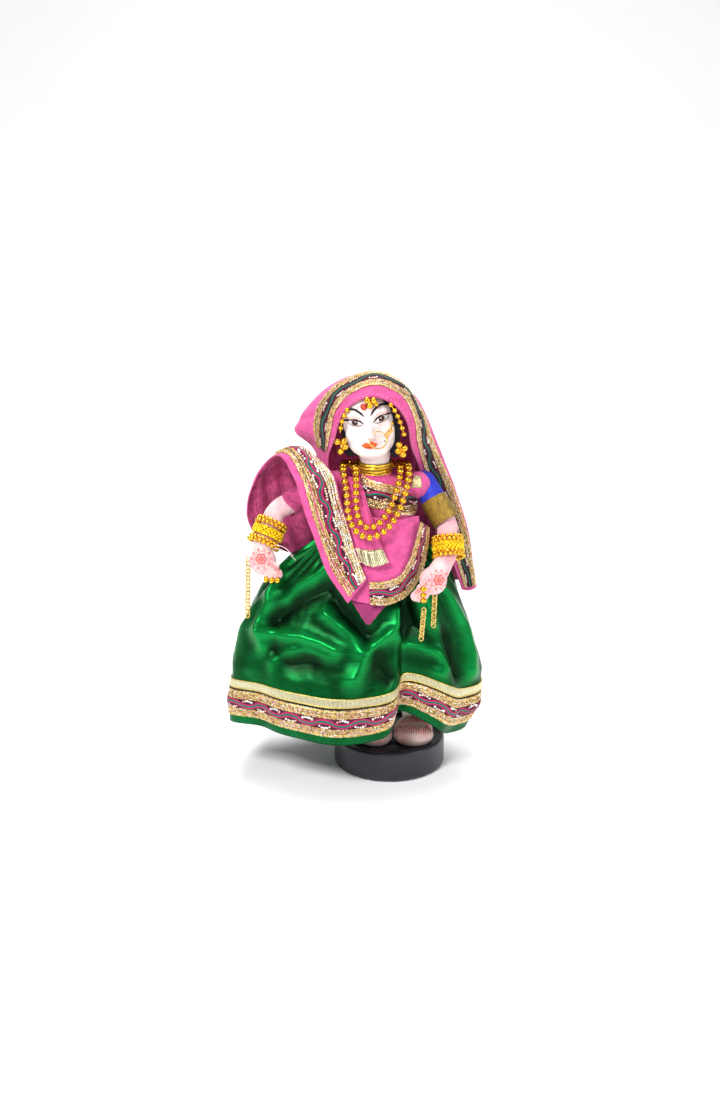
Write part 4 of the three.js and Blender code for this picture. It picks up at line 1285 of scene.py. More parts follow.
def make_bodice():
    """A fitted pink bodice over the bust, with lace slanting across the chest."""
    turns, rows = 140, 56
    heights = np.linspace(BODICE_TOP, BODICE_BOTTOM, rows)
    grid = np.array([[bodice_point(a, float(z)) for z in heights] for a in turns_of(turns)])

    def bump(i, j):
        return 0.3 + 0.25 * noise(Vector((6 * i / turns, 5 * j / rows, 3)))

    bumps = [[bump(i, j) for j in range(rows)] for i in range(turns)]
    cloth = Cloth(relaxed(grid, 4), looped=True, bumps=bumps)
    made = cloth.make("bodice_cotton", "pink", 0.5, slot="pink_cloth", replaces=["choli"])
    band = Ribbon(cloth, straight(0.62, 0.0, 0.975, 0.27), straight(0.62, 0.40, 0.975, 0.62))
    cords = ("crimson", "teal", "maroon")
    trims = lace("chest_border", band, 31, wave=16.0, cords=cords, replaces=["chest_lace"])
    declare(cloth)
    for side, spot in SHOULDERS:
        make_shoulder(side, Vector(spot))


def make_shoulder(side, centre):
    """The bodice's rounded shoulder, gathered underneath, with a scrap of brocade on the left one."""
    slopes = [math.radians(2 + 150 * j / 29) for j in range(30)]
    grid = []
    for a in (-turn for turn in turns_of(72)):
        column = []
        for b in slopes:
            gather = 0.35 * math.sin(11 * a) * math.sin(b / 2) ** 4
            r = SHOULDER_R + gather + 0.3 * noise(Vector((2 * math.cos(a), 2 * math.sin(a), 2 * b)))
            out = r * math.sin(b) * (1 - 0.25 * max(0, b - 1.6))
            column.append(centre + Vector((out * math.cos(a), out * math.sin(a), r * math.cos(b))))
        grid.append(column[::-1])
    shoulder = Cloth(grid, looped=True)
    arm = side + "_upper_arm"
    made = shoulder.make(side + "_shoulder_cotton", "pink", 0.5, hem=0.2, slot="pink_cloth", body=arm)
    if side == "left":
        patch = Ribbon(shoulder, *[straight(u, 0.46, u, 0.80) for u in (0.21, 0.33)])
        tape("shoulder_patch", patch, "patch", lift=0.45, thick=0.4, pitch=0.5, down=12,
             slot="gold_brocade", body=arm)


# ---------------------------------------------------------------- head
YAW = math.radians(1)
ROLL = math.radians(-9)
HEAD_TURN = Matrix.Rotation(YAW, 3, "Z") @ Matrix.Rotation(ROLL, 3, "Y")


def in_head(x, y, z):
    """A point given from the head's centre, turned with the head."""
    return HEAD + HEAD_TURN @ Vector((x, y, z))


# Lumps of clay in the head's own frame: place and half-sizes.
HEAD_LUMPS = [
    ((0, 0, 0), (14.2, 14.6, 19.0)),  # skull
    ((0, -4.0, -8.5), (13.2, 10.7, 11.4)),  # jaw
    ((0, -7.6, -14.6), (9.0, 5.6, 5.0)),  # chin
    ((0, -12.4, 3), (7.0, 3.4, 9)),  # forehead
    ((0, -14.0, -9.4), (3.6, 2.2, 1.7)),  # lips
]
PAIRED_LUMPS = [
    ((7.2, -7.8, -5.0), (6.0, 5.4, 6.2)),  # cheeks
    ((5.8, -10.2, 6.2), (5.2, 3.8, 3.0)),  # brows
    ((1.5, -15.5, -4.8), (1.25, 1.4, 1.05)),  # nostrils
]


def build_head():
    """The lumps, a nose and a neck."""
    clay = Clay()
    for place, radii in HEAD_LUMPS:
        clay.blob(in_head(*place), radii, HEAD_TURN)
    for (x, y, z), radii in PAIRED_LUMPS:
        for side in (-1, 1):
            clay.blob(in_head(side * x, y, z), radii, HEAD_TURN)
    clay.limb(in_head(0, -13.9, 3.0), in_head(0, -16.8, -4.6), 1.4, 1.8)
    clay.limb((NECK[0], NECK[1], 168.5), (NECK[0], NECK[1], 176), NECK_R - 0.1, NECK_R - 0.1)
    clay.limb((NECK[0], NECK[1], 176), (NECK[0] - 0.6, NECK[1] - 0.5, 188), NECK_R, NECK_R + 2.2)
    return clay


def round_outline(a, b, across, high):
    return [(a + across * math.cos(t), b + high * math.sin(t)) for t in turns_of(10)]


# One eye, from its centre; the first number of a point grows away from the nose.
EYE_CENTRE = (7.0, 2.6)
EYE_WHITE = [(-4.2, -0.5), (-1.7, 1.3), (1.2, 1.6), (4.5, 0.6), (1.5, -1.4), (-1.6, -1.4)]
# The iris, the pupil and its glint: centre and half-sizes, paint, lift and rings.
EYE_SPOTS = [
    ((0.1, 0.1, 1.75, 1.5), "brown_paint", 0.18, 4),
    ((0.1, 0.1, 0.95, 0.85), "black_paint", 0.24, 3),
    ((-0.35, 0.6, 0.35, 0.35), "white_paint", 0.3, 2),
]
# Shadow, upper and lower lash lines, lid crease and brow: points, width, paint and lift.
EYE_LINES = [
    ([(-4.0, 1.2), (-1.8, 2.5), (1.4, 2.9), (4.6, 1.9)], 1.5, "lid_wash", 0.05),
    ([(-4.5, -0.7), (-1.9, 1.3), (1.2, 1.9), (4.4, 0.9), (6.2, 0.5)], 1.0, "black_paint", 0.3),
    ([(-3.9, -0.9), (-1.5, -1.6), (1.4, -1.5), (4.3, 0.1)], 0.4, "lash_paint", 0.25),
    ([(-3.6, 2.0), (-1.4, 3.2), (1.6, 3.6), (4.4, 2.8)], 0.4, "lid_paint", 0.1),
    ([(-5.3, 3.2), (-3.1, 5.6), (0.2, 6.8), (3.4, 6.0), (4.9, 4.9)], 1.2, "black_paint", 0.25),
]
LIPS = [(-5.8, -10.1), (-3.0, -8.4), (-1.6, -8.9), (-0.2, -8.2), (2.8, -9.8), (0.6, -12.2), (-3.0, -12.0)]
LIP_LINE = [(-5.6, -10.1), (-3.0, -10.4), (-1.6, -10.0), (-0.2, -10.3), (2.7, -9.8)]
BEAUTY_SPOT = [(6.4, -9.6), (6.8, -9.2), (7.2, -9.6), (6.8, -10.0)]


def face_paint(head):
    """The painted features, drawn on the face from the front."""
    right, up = HEAD_TURN @ Vector((1, 0, 0)), HEAD_TURN @ Vector((0, 0, 1))
    page = Paper(tree_of(head), HEAD, right, up)
    features = Heap()
    for side in (-1, 1):
        def eye(points):
            return [(side * (EYE_CENTRE[0] + a), EYE_CENTRE[1] + b) for a, b in points]

        page.fill(features, eye(EYE_WHITE), "white_paint", 0.12)
        for spot, kind, lift, rings in EYE_SPOTS:
            page.fill(features, eye(round_outline(*spot)), kind, lift, rings)
        for points, width, kind, lift in EYE_LINES:
            page.stroke(features, eye(points), width, kind, lift)
        page.stroke(features, [(side * 1.0, -5.6), (side * 1.9, -5.0)], 0.5, "blush_paint", 0.2)
    page.fill(features, LIPS, "lip_paint", 0.2)
    page.stroke(features, LIP_LINE, 0.35, "lip_line", 0.45)
    page.fill(features, BEAUTY_SPOT, "black_paint", 0.2, rings=2)
    features.make("face_features", slot="face_cloth")


def build_hair():
    """Black wadding over the skull and behind the cheeks, with a strand beside each cheek."""
    clay = Clay()
    clay.blob(HEAD + Vector((0, 2.4, -0.6)), (14.9, 14.6, 19.0), HEAD_TURN)
    clay.blob(Vector((HEAD.x, 4.5, 186)), (13.0, 10.2, 9.6))
    clay.blob(in_head(0, 4.0, -6), (14.9, 11.0, 12.0), HEAD_TURN)
    for side in (-1, 1):
        clay.limb(in_head(side * 13.6, -1.6, 7), in_head(side * 13.6, -1.2, -12), 1.8, 2.0)
    clay.limb(in_head(12.6, -6.4, 12), in_head(14.0, -5.0, -6), 1.7, 2.3)
    clay.limb(in_head(14.0, -5.0, -6), (2.0, -6.5, 182.4), 2.3, 2.7)
    clay.limb(in_head(-13.0, -3.0, 3), in_head(-14.0, -5.0, -7), 1.0, 1.3)
    clay.limb(in_head(-14.0, -5.0, -7), (-22, -6.5, 183), 1.6, 2.9)
    for side, end_r in ((-1, 1.2), (1, 1.6)):
        clay.limb(in_head(side * 0.8, -9.4, 15.2), in_head(side * 12.0, -7.4, 8.6), 0.9, end_r)
    return clay


FACE_OVAL = (13.9, 18.4)


def carve_face(hair):
    """Pushes the hair in, behind the painted face."""
    turn_back = HEAD_TURN.inverted()
    for vertex in hair.data.vertices:
        local = turn_back @ (vertex.co / MM - HEAD)
        oval = (local.x / FACE_OVAL[0]) ** 2 + ((local.z + 1.5) / FACE_OVAL[1]) ** 2
        if oval < 1 and local.y < -2:
            sink = 5.0 * min(1, 3 * (1 - oval))
            vertex.co += HEAD_TURN @ Vector((0, sink * MM, 0))


def make_head():
    head = build_head().fuse("head_cloth", 0.5, 9, "face", slot="face_cloth", replaces=["head"])
    face_paint(head)
    hair = build_hair().fuse("hair_wadding", 0.7, 4, "hair", slot="hair_black", replaces=["hair"])
    carve_face(hair)


# ---------------------------------------------------------------- jewellery
EARRINGS = {
    "left": [(4.2, -13.4, 188.6), (7.0, -13.2, 186.6), (3.8, -13.6, 185.2), (6.2, -13.4, 183.2)],
    "right": [(-28.4, -13, 190.0), (-25.0, -13.4, 190.6), (-24.4, -13.4, 187.4), (-26.8, -13.2, 184.8)],
}
HAIR_BEADS = {
    "left": [
        (-1.2, -14.6, 211.6), (1.6, -14.2, 207.6), (3.8, -13.6, 203), (5.6, -13, 198), (7, -12.8, 193),
    ],
    "right": [(-22.6, -14.4, 208.8), (-24.6, -13.6, 205), (-26.2, -12.8, 200), (-27, -12.6, 195)],
}
PARTING_BEADS = [(-12.8, -16.6, 213.6), (-9.4, -16.6, 213.4), (-14.6, -16.6, 210.0), (-11.4, -17.2, 211.0)]
PARTING_RED = 2
PARTING_SMALL = (-8.0, -16.4, 211.4)
NECKLACE_BEAD_R = 1.95
CLUSTER_BEAD_R = 1.9
HAIR_BEAD_R = 1.35
HAND_BEAD_R = 1.85
NOSE_RING_AT = Vector((-7.0, -18.6, 192.6))
NOSE_RING_R = 4.6
NOSE_CHAIN = [(-3.6, -18.4, 194.4), (-2.0, -18, 197), (-0.2, -16.8, 198.6), (0.6, -15.4, 202.2)]
NECKLACES = {
    "inner_necklace": [
        (-8.5, 11, 171), (3.5, 6.5, 171.6), (5.2, -4, 172.4), (3.6, -13.8, 165.6), (-1, -20.8, 155),
        (-6.5, -25.6, 149), (-12, -27.6, 147), (-16.3, -26.7, 149.6), (-18.4, -23.4, 157),
        (-18.6, -18.4, 166.4), (-19, -7.6, 173.4), (-20, 6.5, 171.6), (-8.5, 11, 171),
    ],
    "outer_necklace": [
        (-8.5, 15.2, 171.2), (6, 9.5, 172), (9.6, -4, 173), (8, -14.6, 164), (3.4, -22.1, 153.3),
        (-4, -28, 145.1), (-12, -29.8, 142.5), (-18.7, -29, 145.9), (-22.4, -25.6, 153.1),
        (-23.6, -19.4, 164), (-25.6, -7, 174), (-23, 9.5, 172), (-8.5, 15.2, 171.2),
    ],
}


def make_necklaces():
    for name, points in NECKLACES.items():
        heap = Heap()
        beaded(heap, arrays(points), NECKLACE_BEAD_R, "bead")
        heap.make(name + "_beads", body=name, slot="gilt_bead", replaces=[name])


CHOKER_TOP = 176.4
CHOKER_HEIGHT = 6


def choker_point(a, t):
    """Crumpled foil wound round the neck, at angle a and share t of the way down."""
    dents = 0.4 * noise(Vector((3 * math.cos(a), 3 * math.sin(a), 5 * t)))
    r = NECK_R + 1.0 + dents + 0.3 * math.sin(2.5 * math.pi * t + a)
    return NECK[0] + r * math.cos(a), NECK[1] + r * math.sin(a), CHOKER_TOP - CHOKER_HEIGHT * t


def make_choker():
    grid = [[choker_point(a, j / 15) for j in range(16)] for a in turns_of(96)]
    Cloth(grid, looped=True).make("choker_band", "choker", 0.6, slot="gilt_bead", replaces=["choker"])


def make_face_jewels():
    heap = Heap()
    for k, spot in enumerate(PARTING_BEADS):
        heap.bead(spot, CLUSTER_BEAD_R, "red_bead" if k == PARTING_RED else "bead", (1, 0, 0.4))
    heap.bead(PARTING_SMALL, 1.3, "bead")
    heap.make("parting_beads", slot="gilt_bead", replaces=["forehead_beads"])
    for side, points in HAIR_BEADS.items():
        heap = Heap()
        beaded(heap, arrays(points), HAIR_BEAD_R, "bead", gap=0.9, thread="bead")
        heap.make(side + "_hairline_beads", slot="gilt_bead", replaces=[side + "_hair_beads"])
    for side, spots in EARRINGS.items():
        heap = Heap()
        node = side + "_earring"
        middle = sum((Vector(s) for s in spots), Vector()) / len(spots)
        for spot in spots:
            heap.bead(spot, CLUSTER_BEAD_R, "bead", (1, 0, -0.5))
            heap.tube([middle, Vector(spot)], 0.45, "chain")
        heap.make(node + "_beads", body=node, slot="gilt_bead", replaces=[node])
    make_nose_ring()


def make_nose_ring():
    """A fine ring through the nose, held to the hair by a beaded chain."""
    heap = Heap()
    r = NOSE_RING_R
    loop = [NOSE_RING_AT + Vector((r * math.cos(a), 0.12 * r * math.cos(a), r * math.sin(a)))
            for a in turns_of(40)]
    heap.tube(loop, 0.33, "chain", closed=True)
    for k in range(8):
        a = math.radians(-70 + 15 * k)
        spot = NOSE_RING_AT + Vector((r * math.cos(a), -0.1, r * math.sin(a)))
        heap.bead(spot, 0.5, "chain", (-math.sin(a), 0, math.cos(a)))
    chain = arrays(NOSE_CHAIN)
    second = [p + np.array((1.0, -0.3, -0.9)) for p in chain[:3]]
    beaded(heap, chain, 0.78, "bead", gap=0.02, thread="chain")
    beaded(heap, second, 0.7, "bead", gap=0.02, thread="chain")
    heap.make("nose_ring_and_chain", slot="gilt_chain", replaces=["nose_ring"])


# ---------------------------------------------------------------- arms
def axes_along(a, b):
    """The way from a to b, and two ways square to it."""
    way = (b - a).normalized()
    side = way.orthogonal().normalized()
    return way, side, way.cross(side)


def arm_tube(side):
    """A stuffed arm from shoulder to wrist, creased softly at the elbow."""
    arm = ARMS[side]
    path = [arm["shoulder"], arm["shoulder"].lerp(arm["elbow"], 0.5), arm["elbow"],
            arm["elbow"].lerp(arm["wrist"], 0.5), arm["wrist"]]
    points = arrays(path)
    count, sides = 56, 30
    vertices = []
    side_way = None
    for i in range(count + 1):
        t = i / count
        p = Vector(spline(points, t))
        ahead = Vector(spline(points, min(1, t + 0.02))) - Vector(spline(points, max(0, t - 0.02)))
        way = ahead.normalized()
        side_way = way.orthogonal().normalized() if side_way is None else side_way
        side_way = (side_way - way * side_way.dot(way)).normalized()
        over = way.cross(side_way)
        bend = math.exp(-(((t - 0.5) / 0.06) ** 2))
        r = SKIN_R - 0.5 * t - 0.4 * bend
        r *= math.sqrt(max(0.02, 1 - max(0, (0.06 - t) / 0.062) ** 2))
        for a in turns_of(sides):
            spot = Vector((2 * math.cos(a), 2 * math.sin(a), 9 * t))
            lumps = 0.3 * noise(spot) + 0.1 * noise(spot * 3)
            vertices.append(p + (side_way * math.cos(a) + over * math.sin(a)) * (r + lumps))
    faces = tube_faces(count + 1, sides)
    upper, fore = side + "_upper_arm", side + "_forearm"
    made = piece(side + "_arm_cloth", vertices, faces, "skin", slot="skin_cloth", body=None,
                 replaces=[upper, fore])
    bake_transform(made)


def tube_cloth(arm, span, radius, flare=0.0, lumps=0.25, dome=False, ragged=0.0, seed=1):
    """A sleeve round the upper arm, over a span of its length; a dome closes over the shoulder."""
    a, b = arm["shoulder"], arm["elbow"]
    length = (b - a).length
    way, side, over = axes_along(a, b)
    start = -0.98 * radius / length if dome else span[0]
    grid = []
    for angle in turns_of(72):
        out = side * math.cos(angle) + over * math.sin(angle)
        column = []
        for t in np.linspace(0, 1, 34):
            share = start + (span[1] - start) * t
            spot = Vector((2.2 * math.cos(angle) + seed, 2.2 * math.sin(angle), 5 * t))
            r = radius + flare * t + lumps * noise(spot) + lumps * 0.5 * noise(spot * 3)
            if share < 0:
                r *= math.sqrt(max(0.02, 1 - (share * length / radius) ** 2))
            drop = ragged * math.cos(2 * angle + seed) * t
            column.append(a.lerp(b, share) + out * r + way * drop)
        grid.append(column)
    return Cloth(grid, looped=True)


def make_sleeves():
    """A blue satin sleeve, a darker pink one with a ragged end, its darker pink a painted shade under the
    cape, and the left one's brocade cuff.
    """
    for side, end, kind, ragged in (("left", 0.5, "blue", 0), ("right", 0.8, "gauze", 1.2)):
        arm = side + "_upper_arm"
        sleeve = tube_cloth(ARMS[side], (0, end), SLEEVE_R, 0.1, 0.25, dome=True, seed=3, ragged=ragged)
        made = sleeve.make(side + "_sleeve_cloth", kind, 0.45, hem=0.2, body=arm, slot="blue_satin",
                           replaces=[side + "_sleeve"])
        declare(sleeve)
    cuff = tube_cloth(ARMS["left"], (0.42, 1.0), CUFF_R, -0.15, 0.12, seed=5)
    made = cuff.make("left_cuff_brocade", "cuff", 0.6, hem=0.25, body="left_upper_arm", slot="gold_brocade",
                     replaces=["left_cuff"])
    declare(cuff)


def build_hand(side):
    """A mitten hand: a palm, three joined fingers and a thumb's ridge."""
    arm, clay = ARMS[side], Clay(20, 12)
    wrist, palm, fingers, thumb = arm["wrist"], arm["palm"], arm["fingers"], arm["thumb"]
    clay.limb(wrist.lerp(palm, 0.05), palm, WRIST_R - 0.8, 6.2)
    clay.blob(palm, (7.4, 6.8, 7.8))
    way, down = (fingers - palm).normalized(), (thumb - palm).normalized()
    for lean, reach, tip_r in ((0.0, 1.0, 2.8), (0.34, 0.97, 2.5), (0.68, 0.9, 2.5)):
        tip = palm.lerp(fingers.lerp(thumb, lean), reach)
        clay.limb(palm + way * 3.2 + down * (lean * 4.4), tip, 3.0, tip_r)
    clay.limb(palm + Vector((0, -3, 2)), palm.lerp(fingers, 0.8) + Vector((0.5, -2.0, 3.4)), 2.8, 2.2)
    return clay


def henna(side, hand):
    """Printed henna: a rosette or sprig on the back of the hand, and stained finger ends."""
    arm = ARMS[side]
    page = Paper(tree_of(hand), arm["palm"], (1, 0, 0), (0, 0.3, 1))
    heap = Heap()

    def around(a, b, radius, count):
        """An outline about (a, b), where radius says how far out it goes at each angle."""
        return [(a + radius(t) * math.cos(t), b + radius(t) * math.sin(t)) for t in turns_of(count)]

    def ring(a, b, r, width, petals=0, kind="henna", depth=0.14):
        wave = depth if petals else 0
        outline = around(a, b, lambda t: r * (1 + wave * math.cos(petals * t)), 30)
        page.stroke(heap, outline, width, kind, 0.1, closed=True, steps=2)

    def blot(a, b, r, kind="henna_wash", seed=0):
        def uneven(t):
            return r * (1 + 0.3 * noise(Vector((2 * math.cos(t), 2 * math.sin(t), seed + a))))

        page.fill(heap, around(a, b, uneven, 9), kind, 0.07, rings=3)

    a0, b0 = (-0.6, 1.4) if side == "right" else (2.8, 0.6)
    blot(a0, b0, 2.0)
    ring(a0, b0, 0.8, 1.2)
    ring(a0, b0, 2.5, 0.9, petals=6)
    ring(a0, b0, 4.2, 0.55, petals=10, kind="henna_wash", depth=0.1)
    for k, t in enumerate(turns_of(10)):
        blot(a0 + 5.2 * math.cos(t), b0 + 5.2 * math.sin(t), 0.6, "henna" if k % 2 else "henna_wash", k)
    way = 1 if arm["fingers"].x > arm["palm"].x else -1
    for k in range(4):
        a = way * (4.0 + 1.4 * k)
        b = -1.6 - 1.2 * k
        page.stroke(heap, [(a - 0.6, b + 2.6), (a + 0.4, b + 1.0), (a, b - 0.8)], 1.0, "henna_wash", 0.1)
        blot(a + 0.2, b + 0.4, 0.8, "henna", k)
    blot(way * 9.0, -5.4, 1.6)
    heap.make(side + "_henna", body=side + "_forearm", slot="skin_cloth")


def make_hands():
    """Each hand with its henna and the three beads sewn to it."""
    for side, arm in ARMS.items():
        body = side + "_forearm"
        hand = build_hand(side).fuse(side + "_hand_cloth", 0.42, 3, "skin", body=body, slot="skin_cloth",
                                     replaces=[side + "_hand"])
        henna(side, hand)
        heap = Heap()
        spots = [Vector(p) for p in arm["beads"]]
        for spot in spots:
            heap.bead(spot, HAND_BEAD_R, "bead", spots[1] - spots[0], squash=0.8)
        ends = [spots[0] + Vector((0, 3, 0.6)), spots[-1] + Vector((0, 3, -0.6))]
        heap.tube([ends[0], *spots, ends[1]], 0.35, "bead")
        heap.make(side + "_finger_ring", body=body, slot="gilt_bead", replaces=[side + "_finger_beads"])


BAND_RIDGES = (-2.0, -1.0, 0.0, 1.0, 2.0)
BAND_KNOBS = (-1.7, -0.6, 0.5, 1.6)
BEAD_ROWS = (-0.95, 0.95)
BEADS_ROUND = 20


def make_bangles():
    """Bead bangles above and below a knobbly gilt band on each forearm."""
    rng = random.Random(41)
    for side, arm in ARMS.items():
        a, b = arm["elbow"], arm["wrist"]
        way, cross, over = axes_along(a, b)
        for name, share in zip(("upper", "band", "lower"), arm["bangles"]):
            node = f"{side}_{name}_bangle"
            centre, r = a.lerp(b, share), ARM_R + 1.2
            heap = Heap()

            def ring(radius, shift, steps=48, phase=0.0):
                hub = centre + way * shift
                return [hub + (cross * math.cos(t) + over * math.sin(t)) * radius
                        for t in turns_of(steps, phase)]

            if name == "band":
                for shift in BAND_RIDGES:
                    heap.tube(ring(r - 0.5, shift), 0.66, "bangle", sides=8, closed=True)
                for row, shift in enumerate(BAND_KNOBS):
                    for spot in ring(r + 0.35, shift, 22, 0.5 * (row % 2)):
                        lift = Vector([rng.uniform(-0.25, 0.25) for _ in range(3)])
                        heap.bead(spot + lift, rng.uniform(0.75, 1.05), "bangle", way, across=8, down=6)
            else:
                for row, shift in enumerate(BEAD_ROWS):
                    spots = ring(r + 0.4 * row, shift, BEADS_ROUND, 0.5 * row)
                    for k, spot in enumerate(spots):
                        axis = spots[(k + 1) % BEADS_ROUND] - spots[k - 1]
                        heap.bead(spot, 1.2, "bead", axis, across=10, down=6)
                    heap.tube(ring(r, shift), 0.4, "bead", closed=True)
            heap.make(node + "_beads", body=node, slot="gilt_bead", replaces=[node])


LOOSE_THREADS = [
    [(-63.5, -23, 135), (-60.5, -26, 137), (-56, -27.5, 135.6), (-51.8, -28, 131.4)],
    [(-63.5, -22.6, 134), (-59, -26, 134.6), (-54.5, -27.5, 132.6), (-50.6, -27.6, 129)],
    [(-63.5, -23, 133.6), (-60.5, -26, 131), (-59.5, -27, 127.5)],
]


def make_threads():
    """Loose white threads left at the right wrist."""
    heap = Heap()
    for line in LOOSE_THREADS:
        fine = [spline(arrays(line), k / 24) for k in range(25)]
        heap.tube(fine, 0.17, "cotton", sides=5)
    heap.make("loose_threads", body="right_forearm", slot="stuffing_cotton")


LINK_PITCH = 2.1
# The top and bottom of each hanging chain.
CHAINS = {
    "left_front_chain": ((17.6, -33, 103.6), (16.2, -33, 85.6)),
    "left_rear_chain": ((23.4, -30, 110.6), (22.8, -30, 92)),
    "right_chain": ((-76.4, -19.5, 127.5), (-77.4, -19.5, 93.6)),
}


def make_chains():
    """Oval links, each turned across the one before."""
    for name, (top, bottom) in CHAINS.items():
        top, bottom = Vector(top), Vector(bottom)
        heap = Heap()
        count = round((top - bottom).length / LINK_PITCH)
        way = (bottom - top).normalized()
        for k in range(count):
            centre = top.lerp(bottom, (k + 0.5) / count)
            face = Vector((0.35, -1, 0)) if k % 2 else Vector((-0.35, -1, 0))
            side = way.cross(face).normalized()
            loop = [centre + way * 1.55 * math.cos(t) + side * 1.15 * math.sin(t) for t in turns_of(16)]
            heap.tube(loop, 0.4, "chain", closed=True)
        heap.make(name + "_links", body=name, slot="gilt_chain", replaces=[name])


# ---------------------------------------------------------------- feet and base
# Each foot: its centre and half-sizes.
FEET = {
    "left": ((13.5, -5.5, 19.6), (11.2, 12.4, 8.2)),
    "right": ((-8.2, -5.5, 19.4), (10.0, 12.4, 7.8)),
}
TOES = [-0.7 + 0.35 * k for k in range(5)]


def make_feet():
    """Stuffed feet with five toes, outlined in henna, flat on the base."""
    for side, (centre, radii) in FEET.items():
        centre = Vector(centre)
        rx, ry, rz = radii
        clay = Clay()
        clay.blob(centre + Vector((0, 1.5, 0)), (rx - 0.2, ry - 1.6, rz))
        clay.blob(centre + Vector((0, -3.5, -0.6)), (rx, ry - 4.2, rz - 1.2))
        for across in TOES:
            tip = centre + Vector((across * rx, -ry + 3.2 + 3.6 * across * across, -1.0))
            clay.limb(tip + Vector((0, 4, 0.8)), tip, 2.3, 1.9)
        foot = clay.fuse(side + "_foot_cloth", 0.5, 4, "foot", slot="skin_cloth", replaces=[side + "_foot"])
        for vertex in foot.data.vertices:
            vertex.co.z = max(vertex.co.z, (FLOOR_Z + 0.3) * MM)
        page = Paper(tree_of(foot), centre, (1, 0, 0), (0, 0.55, 1))
        heap = Heap()
        for a in (across * rx for across in TOES):
            toe = [(a - 1.3, -2.6), (a - 1.2, 0.4), (a, 2.0), (a + 1.2, 0.4), (a + 1.3, -2.6)]
            page.stroke(heap, toe, 0.6, "henna", 0.12)
            page.stroke(heap, [(a, -2.4), (a, 0.6)], 0.8, "henna_wash", 0.1)
        arch = [(-0.85 * rx, 2.0), (-0.5 * rx, 4.6), (0, 5.4), (0.5 * rx, 4.6), (0.85 * rx, 2.0)]
        page.stroke(heap, arch, 0.8, "henna", 0.12)
        page.stroke(heap, [(a * 0.75, b + 1.9) for a, b in arch], 0.6, "henna", 0.12)
        heap.make(side + "_foot_henna", slot="skin_cloth")


def make_base():
    """A turned wooden disc with a raised rim and a shallow recess, as insets and heights."""
    outline = [
        (1.8, 0), (1, 0.15), (0.4, 0.6), (0.05, 1.4), (0, 2.4), (0, 8), (0, 14.4), (0.1, 15.6),
        (0.4, BASE_H - 0.6), (0.9, BASE_H - 0.1), (1.4, BASE_H), (1.9, BASE_H - 0.2), (2.2, BASE_H - 0.7),
        (2.4, FLOOR_Z + 0.7), (2.8, FLOOR_Z + 0.2), (3.6, FLOOR_Z),
    ]
    for groove in (7, 17):
        outline += [(groove, FLOOR_Z), (groove + 0.4, FLOOR_Z - 0.08), (groove + 0.8, FLOOR_Z)]
    outline.append((28, FLOOR_Z))
    sides = 120
    vertices = []
    for inset, z in outline:
        for a in turns_of(sides):
            wobble = 1 + 0.0012 * noise(Vector((3 * math.cos(a), 3 * math.sin(a), z * 0.2)))
            r = (BASE_R - inset) * wobble
            vertices.append((r * math.cos(a), r * math.sin(a), z))
    faces = tube_faces(len(outline), sides)
    piece("base_turned", vertices, faces, "base", slot="base_black", replaces=["base"])


def dress_cad():
    """Finishes for the hidden structure that stays as it was made."""
    for name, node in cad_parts.items():
        kind = "wire" if name.endswith("wire") else "cotton"
        node.data.materials.clear()
        node.data.materials.append(M[kind])


# ---------------------------------------------------------------- stage, in metres
SWEEP_Y = 1.1
SWEEP_R = 0.7
WALL_TOP = 3.5
HALF_FLOOR = 3.5
WORLD_LIGHT = 0.36
LAMP_AIM = Vector((-0.015, 0, 0.12))
# Each lamp: name, place, size and power in watts.
LAMPS = (
    ("key", (-0.45, -0.75, 0.95), 0.35, 12.0),
    ("fill", (0.8, -0.45, 0.5), 0.4, 3.0),
    ("backdrop", (0.0, 0.6, 1.5), 1.0, 24.0),
)
CAMERA_AT = (-0.0165, -0.9391, 0.4486)
CAMERA_DOWN = 19
CAMERA_LENS = 59.5


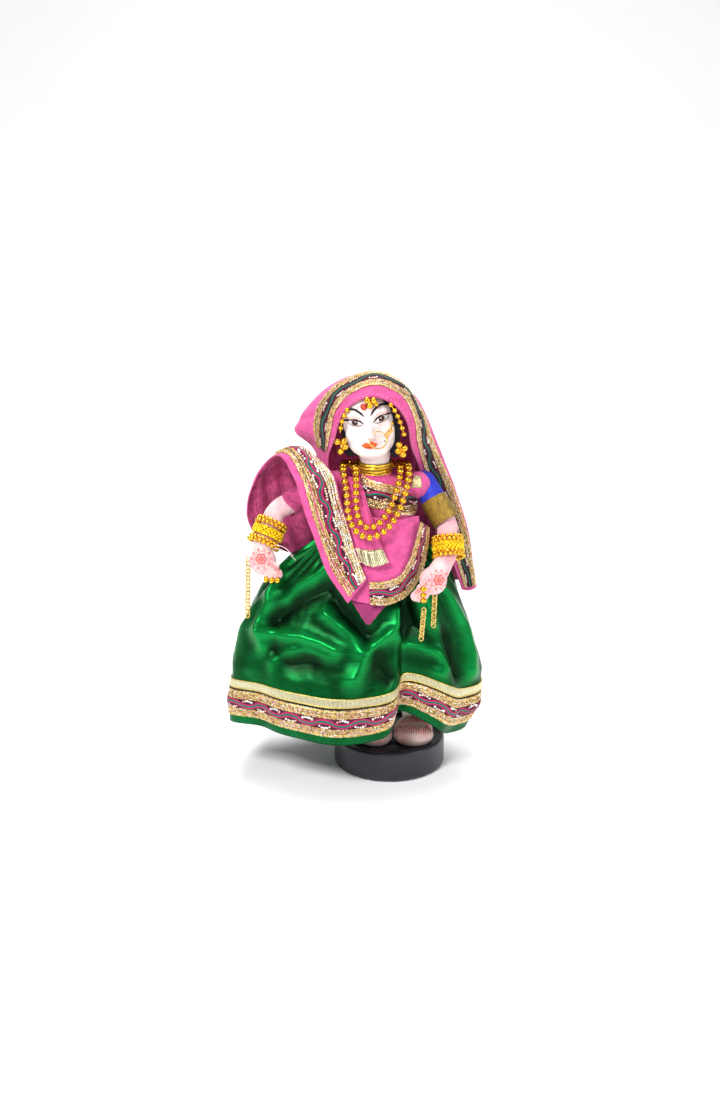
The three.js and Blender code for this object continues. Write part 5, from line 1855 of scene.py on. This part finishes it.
def make_floor():
    """Pale paper, swept up behind the doll."""
    profile = [(-3.0, 0.0), (SWEEP_Y, 0.0)]
    for a in (math.radians(degrees) for degrees in range(6, 91, 6)):
        profile.append((SWEEP_Y + SWEEP_R * math.sin(a), SWEEP_R - SWEEP_R * math.cos(a)))
    profile.append((SWEEP_Y + SWEEP_R, WALL_TOP))
    vertices = [(x, y, z - 0.0002) for y, z in profile for x in (-HALF_FLOOR, HALF_FLOOR)]
    faces = [(2 * k, 2 * k + 1, 2 * k + 3, 2 * k + 2) for k in range(len(profile) - 1)]
    mesh = bpy.data.meshes.new("floor")
    mesh.from_pydata(vertices, [], faces)
    mesh.polygons.foreach_set("use_smooth", [True] * len(faces))
    floor = new_object("floor", mesh)
    s = Shader("floor_paper", 0.9, specular=0.1)
    s.colour(s.noise(s.place(), 400.0), [(0.3, (0.93, 0.93, 0.94)), (0.7, (0.96, 0.96, 0.97))])
    mesh.materials.append(s.material)


def make_stage():
    """The floor, an even white world, soft lamps and the camera."""
    make_floor()
    world = bpy.data.worlds.new("studio")
    bpy.context.scene.world = world
    world.use_nodes = True
    world.node_tree.nodes["Background"].inputs["Color"].default_value = (1, 1, 1, 1)
    world.node_tree.nodes["Background"].inputs["Strength"].default_value = WORLD_LIGHT

    for name, spot, size, power in LAMPS:
        light = bpy.data.lights.new(name, "AREA")
        light.size = size
        light.energy = power
        lamp = new_object(name, light)
        lamp.location = spot
        aim = LAMP_AIM - Vector(spot)
        lamp.rotation_euler = aim.to_track_quat("-Z", "Y").to_euler()

    camera = bpy.data.cameras.new("camera")
    camera.sensor_width = 36
    camera.lens = CAMERA_LENS
    eye = new_object("camera", camera)
    eye.location = CAMERA_AT
    eye.rotation_euler = (math.radians(90 - CAMERA_DOWN), 0, 0)
    bpy.context.scene.camera = eye
    bpy.context.scene.view_settings.view_transform = "Standard"


make_stage()
dress_cad()
make_base()
make_feet()
make_skirt()
make_bodice()
make_front()
make_head()
make_choker()
make_face_jewels()
make_veil()
make_cape()
make_necklaces()
for arm_side in ARMS:
    arm_tube(arm_side)
make_sleeves()
make_hands()
make_bangles()
make_threads()
make_chains()
